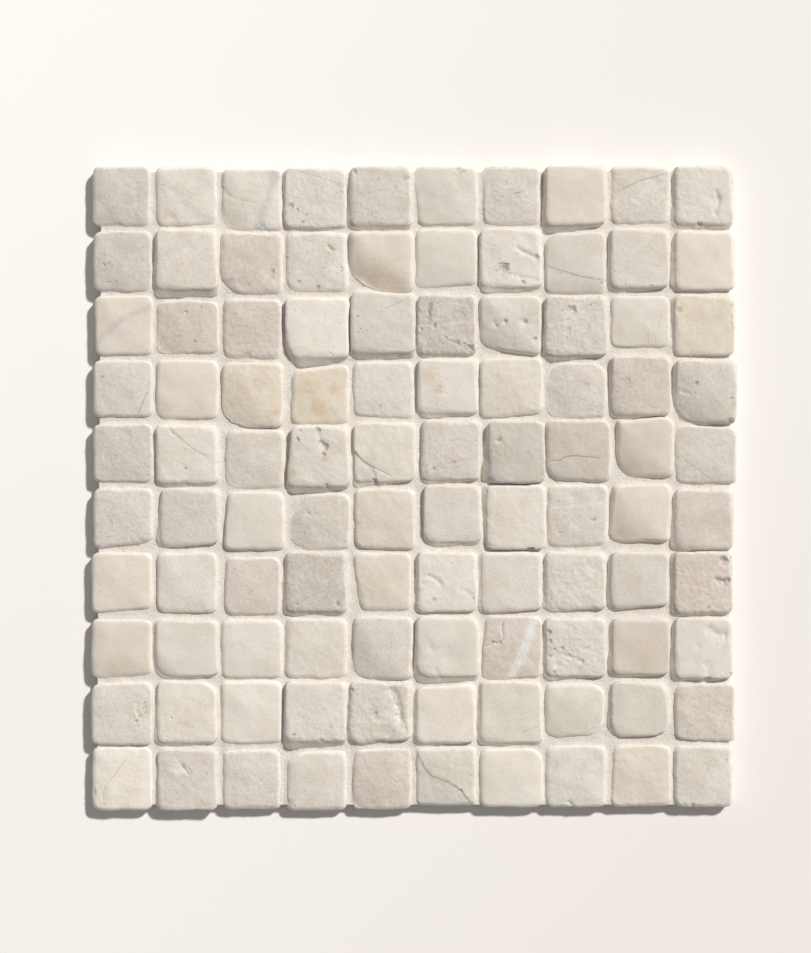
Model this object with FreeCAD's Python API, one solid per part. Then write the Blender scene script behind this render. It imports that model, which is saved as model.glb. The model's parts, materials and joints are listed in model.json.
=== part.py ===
import FreeCAD, Part
import math
import os
import random

# Mosaic sheet of tumbled stone tiles, lying face up. Millimetres, +Z up.
# The origin is the middle of the underside of the backing net, and +Y is the
# sheet's far side. Rows count from the far side and columns from the left.

# Laying out
tiles_per_side = 10
tile_side = 28.4
joint_width = 2.1
net_thickness = 0.5
net_setback = 3.6
grout_setback = 2.4
grout_depth = 6.8

# The stones
tile_thickness = 9.2
edge_round = 2.1
edge_round_spread = 0.2
crisp_edge = 1.1
corner_reach = 2.8
corner_reach_spread = 0.3
face_height_spread = 0.25
face_lean_spread = 0.22

# How much a side may lie off its own place, as a share of the joint
joint_share_side = 0.04

# How far above the grout the spread feet of some stones end
foot_clear = 0.1

# Where the points of each round lie, as shares of its way round. A corner that reaches further
# than broad_corner, in hundredths of the stone's side, gets the finer ones.
round_steps = (0.0, 0.5, 1.0)
broad_steps = (0.0, 0.25, 0.5, 0.75, 1.0)
broad_corner = 20

tile_pitch = tile_side + joint_width
sheet_side = tiles_per_side * tile_side + (tiles_per_side - 1) * joint_width
tile_bottom = net_thickness

CORNERS = {"sw": (-1, -1), "se": (1, -1), "ne": (1, 1), "nw": (-1, 1)}

# Stones whose face stands above the usual height
high_faces = {
    (1, 4): 0.6, (1, 5): 1.2, (1, 8): 2.0, (1, 10): 1.3,
    (2, 2): 2.0, (2, 3): 0.5, (2, 5): 1.0, (2, 7): 1.2, (2, 8): 0.8, (2, 9): 1.4, (2, 10): 1.0,
    (3, 4): 1.8, (3, 5): 1.8, (3, 6): 0.9, (3, 7): 0.7, (3, 8): 1.6, (3, 10): 0.8,
    (4, 2): 0.4, (4, 3): 0.9, (4, 6): 1.0, (4, 7): 0.8, (4, 9): 1.5, (4, 10): 1.3,
    (5, 2): 1.1, (5, 4): 1.4, (5, 5): 0.6, (5, 6): 0.9, (5, 7): 1.2, (5, 8): 0.6, (5, 9): 0.4,
    (6, 2): 0.5, (6, 3): 0.8, (6, 5): 0.4, (6, 6): 0.9, (6, 7): 0.9, (6, 9): 0.8, (6, 10): 1.0,
    (7, 2): 0.6, (7, 4): 1.3, (7, 6): 0.8, (7, 7): 0.6, (7, 8): 0.9, (7, 9): 1.0, (7, 10): 1.6,
    (8, 2): 0.9, (8, 5): 0.5, (8, 6): 1.7, (8, 8): 1.0, (8, 9): 1.2, (8, 10): 1.3,
    (9, 1): 0.6, (9, 2): 0.6, (9, 4): 1.4, (9, 5): 1.0, (9, 6): 1.1, (9, 7): 0.8, (9, 9): 0.5,
}

# Stones whose face leans: how much its right and far edges rise above its middle
leaning_faces = {
    (1, 4): (-0.4, 0.0), (1, 8): (-0.4, 0.2), (2, 2): (0.1, -0.3), (2, 5): (0.3, 0.5),
    (2, 10): (-0.5, 0.1), (3, 4): (-0.3, -0.3), (3, 5): (-0.2, -0.4), (3, 8): (-0.5, -0.2),
    (4, 5): (0.2, 0.4), (5, 7): (-0.5, 0.1), (5, 9): (0.5, 0.5), (6, 3): (-0.3, -0.2),
    (6, 10): (-0.5, -0.1), (7, 9): (-0.5, 0.2), (7, 10): (-0.5, 0.0), (8, 6): (-0.4, -0.3),
    (8, 9): (-0.3, -0.2), (8, 10): (-0.3, -0.3), (9, 4): (-0.2, -0.4), (9, 8): (-0.2, 0.2),
}

# Where the sides of each stone lie: how far outside their own place the left, right, far and near
# side are, in hundredths of the stone's side. One line for each row of the sheet.
side_shifts = (
    ((-3, -3, 1, -1), (0, 0, 0, 1), (-2, 0, -4, 6), (1, -1, -3, 2), (0, 0, 0, -1),
     (-1, -1, 0, -2), (-5, -1, 0, -2), (-1, 0, 1, -1), (-2, -2, 1, -4), (0, -3, 1, -2)),
    ((-4, -1, -1, 0), (-1, 0, 2, -2), (0, -1, -1, 5), (0, 0, -2, 1), (2, 1, -1, 1),
     (-1, 1, 3, -5), (0, 1, 3, -6), (0, -1, -1, 4), (-1, -4, 3, -5), (-1, -1, 0, -2)),
    ((-7, 0, -1, -2), (-2, 0, -8, -5), (-4, 0, -5, 5), (1, 4, -4, 2), (-1, 0, 1, -5),
     (-4, 0, 2, -4), (1, 0, -1, -1), (0, 0, 0, -1), (-2, -2, -1, -15), (0, 0, 2, -2)),
    ((-4, -1, -1, -7), (-1, 2, 1, -4), (-2, 2, -4, 10), (-8, 4, -5, 5), (-4, 0, -4, -3),
     (-4, 0, 1, -12), (0, 1, 3, -4), (-2, -1, -4, -5), (-3, -2, 5, -11), (-1, 3, 1, 2)),
    ((-4, 0, 2, -6), (-1, 2, 1, -4), (-8, 1, -9, 4), (-6, 5, -1, 1), (-6, 2, 2, -5),
     (-11, 1, 6, -10), (-13, 3, 4, -6), (-2, 3, 5, -7), (-11, 1, 7, -15), (-1, 3, -2, -4)),
    ((-4, 0, 4, -3), (-8, 1, 2, -5), (-7, -1, -7, -1), (-8, 4, -6, -1), (-7, 1, 0, -1),
     (-14, 2, 6, -14), (-11, 4, 7, -3), (-4, 0, 4, -4), (1, -5, 2, -15), (0, -2, 0, -3)),
    ((-1, 0, 4, -4), (-2, 0, 4, -5), (-7, -5, -6, -1), (-1, 1, 5, -7), (-3, -1, 4, -8),
     (-4, 1, 5, -7), (-2, 1, 5, -4), (-1, 0, 5, -7), (-2, -4, 2, -12), (0, -4, 5, -5)),
    ((-1, -1, 3, -4), (-1, 0, 0, -8), (-1, -1, 1, -3), (0, 2, 3, -4), (-4, 0, 6, -2),
     (-2, 0, 6, -6), (-5, 1, 6, -1), (-1, 0, 3, -7), (-4, -4, 2, -11), (0, -4, 4, -4)),
    ((-1, 0, 5, -1), (-2, 0, 6, -5), (0, 1, 7, -2), (0, 1, 6, -7), (0, 0, 6, -3),
     (-2, -3, 3, -5), (-1, 1, 6, -5), (-1, -3, 2, -12), (-2, -4, 5, -14), (-1, 0, 3, -6)),
    ((-2, 0, 4, 0), (-3, 0, 1, -1), (-4, -2, 0, -2), (-1, 1, 0, 0), (-4, 0, 2, -1),
     (0, 0, 5, -7), (0, 3, 1, -6), (-1, 0, 6, -6), (-2, 0, 7, -7), (0, -3, 7, -6)),
)

# Corners that tumbling has rounded more: how far the round reaches along X and Y, in hundredths
# of the stone's side
worn_corners = {
    (1, 3): {"sw": (28, 28)},
    (2, 3): {"sw": (39, 39)},
    (2, 4): {"sw": (18, 18)},
    (2, 5): {"sw": (77, 46)},
    (2, 8): {"nw": (25, 21)},
    (3, 4): {"sw": (24, 48)},
    (3, 7): {"sw": (16, 16)},
    (4, 2): {"sw": (14, 14)},
    (4, 3): {"sw": (53, 32)},
    (4, 8): {"ne": (28, 24), "nw": (20, 18), "sw": (20, 20)},
    (4, 10): {"sw": (46, 35)},
    (5, 3): {"sw": (20, 20)},
    (5, 8): {"sw": (16, 20)},
    (5, 9): {"sw": (30, 40)},
    (6, 4): {"nw": (38, 60), "sw": (34, 26)},
    (6, 6): {"sw": (20, 16)},
    (6, 9): {"sw": (20, 14)},
    (7, 3): {"sw": (14, 14)},
    (8, 2): {"sw": (24, 22)},
    (8, 5): {"sw": (32, 26)},
    (8, 6): {"sw": (18, 18), "ne": (16, 16)},
    (9, 2): {"ne": (28, 24)},
    (9, 8): {"ne": (24, 20), "se": (30, 22), "sw": (18, 18)},
    (9, 9): {"ne": (18, 18), "nw": (14, 14), "se": (20, 20), "sw": (18, 18)},
    (10, 4): {"nw": (25, 21)},
    (10, 7): {"ne": (22, 22)},
}

# Corners of stones that were split out of square: how far each lies inside along X and Y, in
# hundredths of the stone's side
short_corners = {
    (1, 2): {"se": (0, 4)},
    (1, 6): {"sw": (5, 0), "nw": (-2, 0)},
    (1, 8): {"se": (0, 3)},
    (2, 1): {"sw": (0, 1), "se": (0, -2)},
    (2, 6): {"se": (0, 6)},
    (2, 8): {"nw": (0, 6)},
    (2, 9): {"se": (0, 2)},
    (3, 7): {"sw": (2, 14)},
    (4, 4): {"nw": (4, 12)},
    (4, 5): {"sw": (0, 7)},
    (4, 7): {"se": (0, 9)},
    (4, 8): {"nw": (0, 3)},
    (5, 4): {"nw": (4, 0), "sw": (-3, 0)},
    (5, 5): {"se": (0, 4)},
    (5, 7): {"sw": (4, 0)},
    (5, 8): {"sw": (2, 3)},
    (5, 10): {"ne": (0, 6)},
    (6, 1): {"se": (0, 12)},
    (6, 2): {"se": (0, 6)},
    (6, 3): {"nw": (4, 0), "sw": (-2, 0)},
    (6, 5): {"sw": (0, 4)},
    (6, 8): {"se": (0, 5)},
    (6, 9): {"nw": (4, 0)},
    (7, 1): {"se": (0, 8)},
    (7, 3): {"nw": (2, 0), "sw": (-2, 0)},
    (7, 5): {"sw": (13, 0)},
    (7, 7): {"se": (0, 6)},
    (7, 8): {"se": (0, 5)},
    (7, 9): {"se": (0, 6)},
    (8, 1): {"se": (0, 6), "ne": (0, 3)},
    (8, 7): {"nw": (4, 0), "sw": (-3, 0), "se": (0, 4)},
    (9, 1): {"nw": (0, 5)},
    (9, 5): {"se": (0, 8)},
    (9, 6): {"nw": (0, 7)},
    (9, 8): {"se": (0, 6)},
    (9, 9): {"se": (0, 3)},
    (9, 10): {"sw": (0, 4), "nw": (0, 3)},
    (10, 4): {"nw": (2, 6)},
    (10, 6): {"nw": (0, 3)},
    (10, 9): {"nw": (4, 0)},
}

# Stones with crisp rims whose sides slope out to a wider foot: how far past the rim each corner
# of the foot stands along X and Y, in hundredths of the stone's side
spread_feet = {
    (1, 4): {"nw": (4, 0), "sw": (1, 5), "se": (0, 2)},
    (1, 5): {"nw": (1, 0), "sw": (6, 7), "se": (0, 6)},
    (1, 8): {"nw": (2, 0), "sw": (7, 15), "se": (0, 1)},
    (1, 10): {"nw": (2, 0), "sw": (7, 6), "se": (0, 6)},
    (2, 2): {"nw": (2, 0), "sw": (6, 16), "se": (0, 10)},
    (2, 7): {"sw": (1, 12), "se": (0, 3)},
    (2, 9): {"nw": (3, 0), "sw": (6, 8), "se": (0, 1)},
    (2, 10): {"nw": (3, 0), "sw": (10, 0)},
    (3, 4): {"nw": (1, 0), "sw": (-3, 20), "se": (0, 5)},
    (3, 5): {"sw": (1, 12), "se": (0, 8)},
    (3, 6): {"sw": (2, 6), "se": (0, 3)},
    (3, 8): {"sw": (5, 12), "se": (0, 1)},
    (3, 10): {"nw": (6, 0), "sw": (3, 0)},
    (4, 6): {"sw": (1, 8), "se": (0, 1)},
    (4, 9): {"nw": (4, 0), "sw": (4, 9)},
    (4, 10): {"nw": (2, 0), "sw": (5, 4), "se": (0, 3)},
    (5, 2): {"sw": (1, 6), "se": (0, 3)},
    (5, 4): {"sw": (2, 13), "se": (0, 5)},
    (5, 5): {"sw": (1, 9)},
    (5, 6): {"sw": (1, 7), "se": (0, 1)},
    (5, 7): {"nw": (1, 0), "sw": (18, 2), "se": (0, 1)},
    (6, 2): {"sw": (7, 1)},
    (6, 6): {"sw": (0, 8), "se": (0, 5)},
    (6, 7): {"nw": (9, 0), "sw": (2, 0)},
    (6, 10): {"nw": (1, 0), "sw": (9, 3)},
    (7, 4): {"nw": (1, 0), "sw": (8, 8), "se": (0, 8)},
    (7, 6): {"nw": (2, 0), "sw": (6, 1)},
    (7, 7): {"nw": (4, 0), "sw": (4, 2)},
    (7, 8): {"nw": (2, 0), "sw": (4, 2)},
    (7, 9): {"nw": (3, 0), "sw": (8, 4)},
    (7, 10): {"nw": (5, 0), "sw": (10, 6), "se": (0, 2)},
    (8, 2): {"nw": (5, 0), "sw": (6, 6), "se": (0, 3)},
    (8, 6): {"sw": (6, 15), "se": (0, 6)},
    (8, 8): {"nw": (2, 0), "sw": (5, 9)},
    (8, 9): {"nw": (4, 0), "sw": (7, 7)},
    (8, 10): {"nw": (2, 0), "sw": (9, 8), "se": (0, 1)},
    (9, 2): {"sw": (5, 7), "se": (0, 2)},
    (9, 4): {"nw": (1, 0), "sw": (4, 18), "se": (0, 6)},
    (9, 5): {"nw": (2, 0), "sw": (4, 6)},
    (9, 6): {"nw": (4, 0), "sw": (7, 6)},
    (9, 7): {"nw": (3, 0), "sw": (6, 6), "se": (0, 4)},
    (9, 9): {"nw": (3, 0), "sw": (7, 1)},
    (10, 2): {"sw": (5, 0)},
}


def tile_centre(row, column):
    """Where the stone's cell is on the sheet."""
    middle = (tiles_per_side + 1) / 2
    return (column - middle) * tile_pitch, (middle - row) * tile_pitch


def corner_arc(corner, before, after, reach_before, reach_after, steps):
    """Points round one corner: a conic from a point on the side before to one on the side after."""
    start = corner + (before - corner).normalize() * reach_before
    end = corner + (after - corner).normalize() * reach_after
    pull = math.cos(math.pi / 4)
    points = []
    for t in steps:
        weights = ((1 - t) ** 2, 2 * pull * t * (1 - t), t ** 2)
        total = start * weights[0] + corner * weights[1] + end * weights[2]
        points.append(total / sum(weights))
    return points


def tile_corners(row, column, chance):
    """The corners of the stone's rim about its own middle, and how far each one's round reaches."""
    half, hundredth = tile_side / 2, tile_side / 100
    spread = joint_share_side * joint_width
    left, right, far, near = side_shifts[row - 1][column - 1]
    short = short_corners.get((row, column), {})
    worn = worn_corners.get((row, column), {})
    corners, reaches = {}, {}
    for name, (side_x, side_y) in CORNERS.items():
        inside_x, inside_y = short.get(name, (0, 0))
        out_x = (left if side_x < 0 else right) - inside_x
        out_y = (near if side_y < 0 else far) - inside_y
        corners[name] = FreeCAD.Vector(
            side_x * (half + hundredth * out_x + chance.uniform(-spread, spread)),
            side_y * (half + hundredth * out_y + chance.uniform(-spread, spread)),
            0,
        )
        usual = corner_reach + chance.uniform(-1, 1) * corner_reach_spread
        reaches[name] = (usual, usual)
        if name in worn:
            reaches[name] = tuple(hundredth * reach for reach in worn[name])
    return corners, reaches


def foot_corners(row, column, corners):
    """The corners of the stone's foot, from those of its rim."""
    hundredth = tile_side / 100
    feet = {}
    for name, (side_x, side_y) in CORNERS.items():
        out_x, out_y = spread_feet[row, column].get(name, (0, 0))
        feet[name] = corners[name] + FreeCAD.Vector(side_x * out_x, side_y * out_y, 0) * hundredth
    return feet


def rounded_outline(corners, reaches):
    """A plan outline, counter-clockwise, through the rounds of its corners."""
    names = list(corners)
    points = []
    for k, name in enumerate(names):
        before, after = corners[names[k - 1]], corners[names[(k + 1) % len(names)]]
        along_x, along_y = reaches[name]
        # Going round, the side before a corner runs along Y at sw and ne, and along X at the others.
        first, last = (along_y, along_x) if name in ("sw", "ne") else (along_x, along_y)
        broad = max(reaches[name]) > broad_corner * tile_side / 100
        steps = broad_steps if broad else round_steps
        points += corner_arc(corners[name], before, after, first, last, steps)
    return points


def inset_outline(points, distance):
    """The convex outline with every side moved inwards by the distance."""
    lines = []
    for k, point in enumerate(points):
        along = (points[(k + 1) % len(points)] - point).normalize()
        inwards = FreeCAD.Vector(-along.y, along.x, 0)
        lines.append((point + inwards * distance, along))
    inset = []
    for k in range(len(points)):
        (p, u), (q, v) = lines[k - 1], lines[k]
        across = u.x * v.y - u.y * v.x
        gap = q - p
        inset.append(p + u * ((gap.x * v.y - gap.y * v.x) / across))
    return inset


def facets_between(low, high):
    """The flat sides between two rings with the same number of points, split where they twist."""
    for k in range(len(low)):
        n = (k + 1) % len(low)
        a, b, c, d = low[k], low[n], high[n], high[k]
        across = (b - a).cross(d - a)
        if abs(across.dot(c - a)) < 1e-6 * across.Length:
            yield [a, b, c, d]
        else:
            yield [a, b, c]
            yield [a, c, d]


def solid_from_rings(rings):
    """A closed solid through rings that have the same number of points, from the bottom up."""
    loops = [rings[0][::-1], rings[-1]]
    for low, high in zip(rings, rings[1:]):
        loops += facets_between(low, high)
    faces = [Part.Face(Part.makePolygon(loop + [loop[0]])) for loop in loops]
    return Part.makeSolid(Part.makeShell(faces))


def tile(row, column):
    """One stone: straight sides or a spread foot below, a worn rim, and a flat face that may lean."""
    chance = random.Random(tiles_per_side * row + column)
    corners, reaches = tile_corners(row, column, chance)
    outline = rounded_outline(corners, reaches)
    height = tile_thickness + chance.uniform(-1, 1) * face_height_spread
    height += high_faces.get((row, column), 0.0)
    usual_lean = [chance.uniform(-1, 1) * face_lean_spread for _ in range(2)]
    rise_right, rise_far = leaning_faces.get((row, column), usual_lean)
    middle = FreeCAD.Vector(*tile_centre(row, column), tile_bottom)

    def placed(point, level):
        rise = (rise_right * point.x + rise_far * point.y) / (tile_side / 2)
        return middle + FreeCAD.Vector(point.x, point.y, level + rise)

    if (row, column) in spread_feet:
        foot = rounded_outline(foot_corners(row, column, corners), reaches)
        foot_top = FreeCAD.Vector(0, 0, grout_depth + foot_clear)
        rings = [[middle + p for p in foot], [middle + p + foot_top for p in foot]]
        rim = [(0.0, crisp_edge), (crisp_edge, 0.0)]
    else:
        rings = [[middle + p for p in outline]]
        radius = edge_round + chance.uniform(-1, 1) * edge_round_spread
        rim = []
        for t in round_steps:
            angle = t * math.pi / 2
            rim.append((radius * (1 - math.cos(angle)), radius * (1 - math.sin(angle))))
    for inset, drop in rim:
        rings.append([placed(p, height - drop) for p in inset_outline(outline, inset)])
    return solid_from_rings(rings)


def plate(side, thickness, level):
    """A square plate about the sheet's middle."""
    return Part.makeBox(side, side, thickness, FreeCAD.Vector(-side / 2, -side / 2, level))


def tile_rows():
    """The stones of each row, one list for each row."""
    numbers = range(1, tiles_per_side + 1)
    return [[tile(row, column) for column in numbers] for row in numbers]


def grout(rows):
    """The joint filler: one cast web that the stones stand through."""
    web = plate(sheet_side - 2 * grout_setback, grout_depth, net_thickness)
    return web.cut([stone for row in rows for stone in row])


def backing_net():
    """The outer form of the glass-fibre net that the stones are glued to."""
    return plate(sheet_side - 2 * net_setback, net_thickness, 0)


def save(name, shape):
    shape.exportStep(os.path.join("parts", name + ".step"))


os.makedirs("parts", exist_ok=True)
rows = tile_rows()
for number, stones in enumerate(rows, 1):
    save(f"tile_row_{number:02d}", Part.makeCompound(stones))
save("grout", grout(rows))
save("backing_net", backing_net())
print("stones", sum(len(stones) for stones in rows), "sheet side", round(sheet_side, 2))
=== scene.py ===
import json
import math
import random

import bmesh
import bpy
import numpy as np
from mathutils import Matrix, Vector, noise
from mathutils.bvhtree import BVHTree

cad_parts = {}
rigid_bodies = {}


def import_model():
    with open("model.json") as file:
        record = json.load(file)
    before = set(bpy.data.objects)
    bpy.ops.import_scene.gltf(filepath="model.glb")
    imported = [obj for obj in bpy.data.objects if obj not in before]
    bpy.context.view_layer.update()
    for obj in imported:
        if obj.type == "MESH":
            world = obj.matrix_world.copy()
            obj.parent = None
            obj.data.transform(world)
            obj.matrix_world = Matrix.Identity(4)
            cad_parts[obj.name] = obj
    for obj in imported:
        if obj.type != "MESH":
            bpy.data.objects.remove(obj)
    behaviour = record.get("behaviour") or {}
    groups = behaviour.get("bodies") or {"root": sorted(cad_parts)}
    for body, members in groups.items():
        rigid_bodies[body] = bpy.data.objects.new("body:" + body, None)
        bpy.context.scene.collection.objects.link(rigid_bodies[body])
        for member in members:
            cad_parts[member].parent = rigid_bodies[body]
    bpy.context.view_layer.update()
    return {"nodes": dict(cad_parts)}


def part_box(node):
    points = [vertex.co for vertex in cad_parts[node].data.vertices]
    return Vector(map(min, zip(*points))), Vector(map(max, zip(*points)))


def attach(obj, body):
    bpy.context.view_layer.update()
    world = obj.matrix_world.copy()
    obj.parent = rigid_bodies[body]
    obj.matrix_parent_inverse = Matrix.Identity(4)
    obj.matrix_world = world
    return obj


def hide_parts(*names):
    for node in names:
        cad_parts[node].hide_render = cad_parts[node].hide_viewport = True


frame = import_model()
mm = 0.001

sheet = {
    "perSide": 10,
    "pitch": 30.5,         # a stone and its joint
    "halfStone": 14.2,     # what a share of 1 means in the marks below
    "underside": 0.5,      # where the stones start, on top of the net
    "footLevel": 5.0,      # height at which the outline of a solid's foot is read
    "footTop": 7.4,        # where spread feet begin to slope in
    "crispDrop": 1.08,     # how far below its face the rim of a solid with a spread foot is read
    "readFrom": 30,        # a height above every stone, from which the solids' faces are read
    "leanSpan": 8.0,       # how far from the middle a face is read for its lean
    "outlineSteps": 256,   # readings round a stone
    "outlineEasing": 1.6,  # how far the solid's flats are eased into curves, in steps
    "groutTop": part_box("grout")[1][2] / mm,
    "groutInset": 0.2,     # from the sides of its solid
    "same": 0.01,          # places nearer than this are the same
}
sheet["groutLow"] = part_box("grout")[0][0] / mm + sheet["groutInset"]
sheet["groutHigh"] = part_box("grout")[1][0] / mm - sheet["groutInset"]


# Stones

stone = {
    "plainCells": 38,      # across a face
    "fineCells": 58,       # across a face that has pits or cracks
    "rimCells": 6,         # of those, how many turn over each rim
    "crispSlope": (0.2, 0.45, 0.72, 1.0),          # down a side, from the rim to the grout
    "softSlope": (1.0,),
    "hiddenRings": (1.0,),                         # from there to the underside
    "outerRings": (0.2, 0.45, 0.72, 1.0),
    "softRim": (1.3, 1.9),
    "softRimWiden": (0.75, 1.15),                  # how much wider than deep a soft rim is
    "crispRim": (0.8, 1.2),
    "chamfer": 0.4,        # 0 for a round rim, 1 for a straight one
    "cornerRound": 0.12,   # how much rounder the rim is at the corners
    "wornWiden": 0.70,     # how much wider still for each millimetre that a corner has lost
    "wornFrom": 2.4,       # the loss at which that begins
    "mostWorn": 5,
    "rimUneven": 0.5,      # how far the width of a rim varies
    "rimUnevenLength": 14.0,
    "softPillow": 1.0,     # how far a face falls away towards its rim
    "crispPillow": 0.4,
    "crispWiden": 0.7,     # how much wider a crisp rim is towards and away from the light
    "crispDeepen": 0.21,   # and how much deeper
    "steepness": 0.8,      # the least fall of a crisp stone's side for its width
    "rimFall": 1.0,        # from the face to where that side begins
    "mostLift": 1.2,       # how far a stone is raised for that
    "mostRim": 0.6,        # of the radius
    "leastSide": 0.4,      # how far a side falls at the least
    "wave": 0.26,          # how far an outline wanders
    "waveLength": 7.5,
    "waveOut": 0.4,        # a share of that, added everywhere
    "footWave": 0.8,       # the same for the outline of a spread foot
    "footWaveLength": 9.0,
    "footIn": 0.15,        # how far it is drawn in everywhere
    "mostFootWave": 0.2,
    "undulate": 0.34,      # how far a face rises and falls
    "undulateLength": 13.0,
    "bumpLength": 4.6,     # and the same for smaller bumps and for grains, by surface
    "bumps": {"smooth": 0.05, "worn": 0.13, "grainy": 0.11, "rough": 0.16},
    "grainLength": 1.9,
    "grains": {"smooth": 0.03, "worn": 0.09, "grainy": 0.13, "rough": 0.20},
    "looseAmount": 0.03,   # spread of lightness between stones of a kind
    "spread": (0.5, 0.3),  # how far the right and far sides' slopes reach beyond the solid's
    "leastJoint": 0.8,     # between two stones
    "mostRetreat": 3,      # how far an outline is drawn back to keep it
    "retreat": 1.1,        # how much more than needed it is drawn back, as easing takes some away
    "raggedLength": 1.7,   # of the uneven edges of the marks
    "wideDent": 7.0,       # a dent with a larger radius is a worn side
    "wideDentDepth": 1.5,  # how many times as deep as typed such a dent is
    "noCrack": 9.0,        # the distance to a crack where there is none
    "rollLift": 0.45,      # how much of its fall a strongly rolling face starts higher
    "mostRollLift": 1.3,
    "mostRoll": 0.85,      # of a stone's height above its foot
}

# The stones whose right and far sides reach out differently from the usual spread
spreads = {
    (1, 3): (1.0, 0.0), (1, 6): (1.3, 0.0), (2, 2): (1.0, 0.3), (2, 3): (1.3, 0.4), (2, 4): (1.2, 0.2),
    (2, 5): (1.4, 0.5), (2, 9): (0.9, 0.3), (3, 2): (1.1, 0.0), (3, 5): (1.9, 1.7), (3, 8): (1.2, 0.1),
    (4, 1): (0.9, 0.6), (4, 5): (1.4, 1.0), (4, 6): (1.7, 1.1), (4, 7): (0.9, 0.5), (4, 8): (1.3, 0.7),
    (4, 9): (0.7, 0.7), (5, 3): (1.5, 0.8), (5, 5): (2.0, 0.8), (5, 6): (2.4, 0.9), (5, 7): (1.3, 1.0),
    (5, 8): (1.7, 1.3), (5, 9): (1.4, 2.1), (5, 10): (0.0, 1.7), (6, 1): (0.9, 0.2), (6, 2): (1.3, 0.4),
    (6, 3): (2.1, 1.4), (6, 4): (1.1, 0.5), (6, 5): (1.7, 0.9), (6, 6): (2.3, 1.1), (6, 7): (1.2, 1.0),
    (6, 8): (1.4, 1.8), (6, 9): (2.1, 2.5), (6, 10): (0.4, 1.0), (7, 3): (1.3, 1.0), (7, 7): (1.0, 0.2),
    (7, 9): (1.2, 1.0), (8, 1): (1.0, 0.2), (8, 2): (1.0, 0.2), (8, 3): (1.2, 0.3), (8, 5): (1.0, 0.2),
    (8, 6): (1.8, 0.3), (8, 9): (1.0, 0.3), (9, 6): (1.0, 0.2),
}

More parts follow.
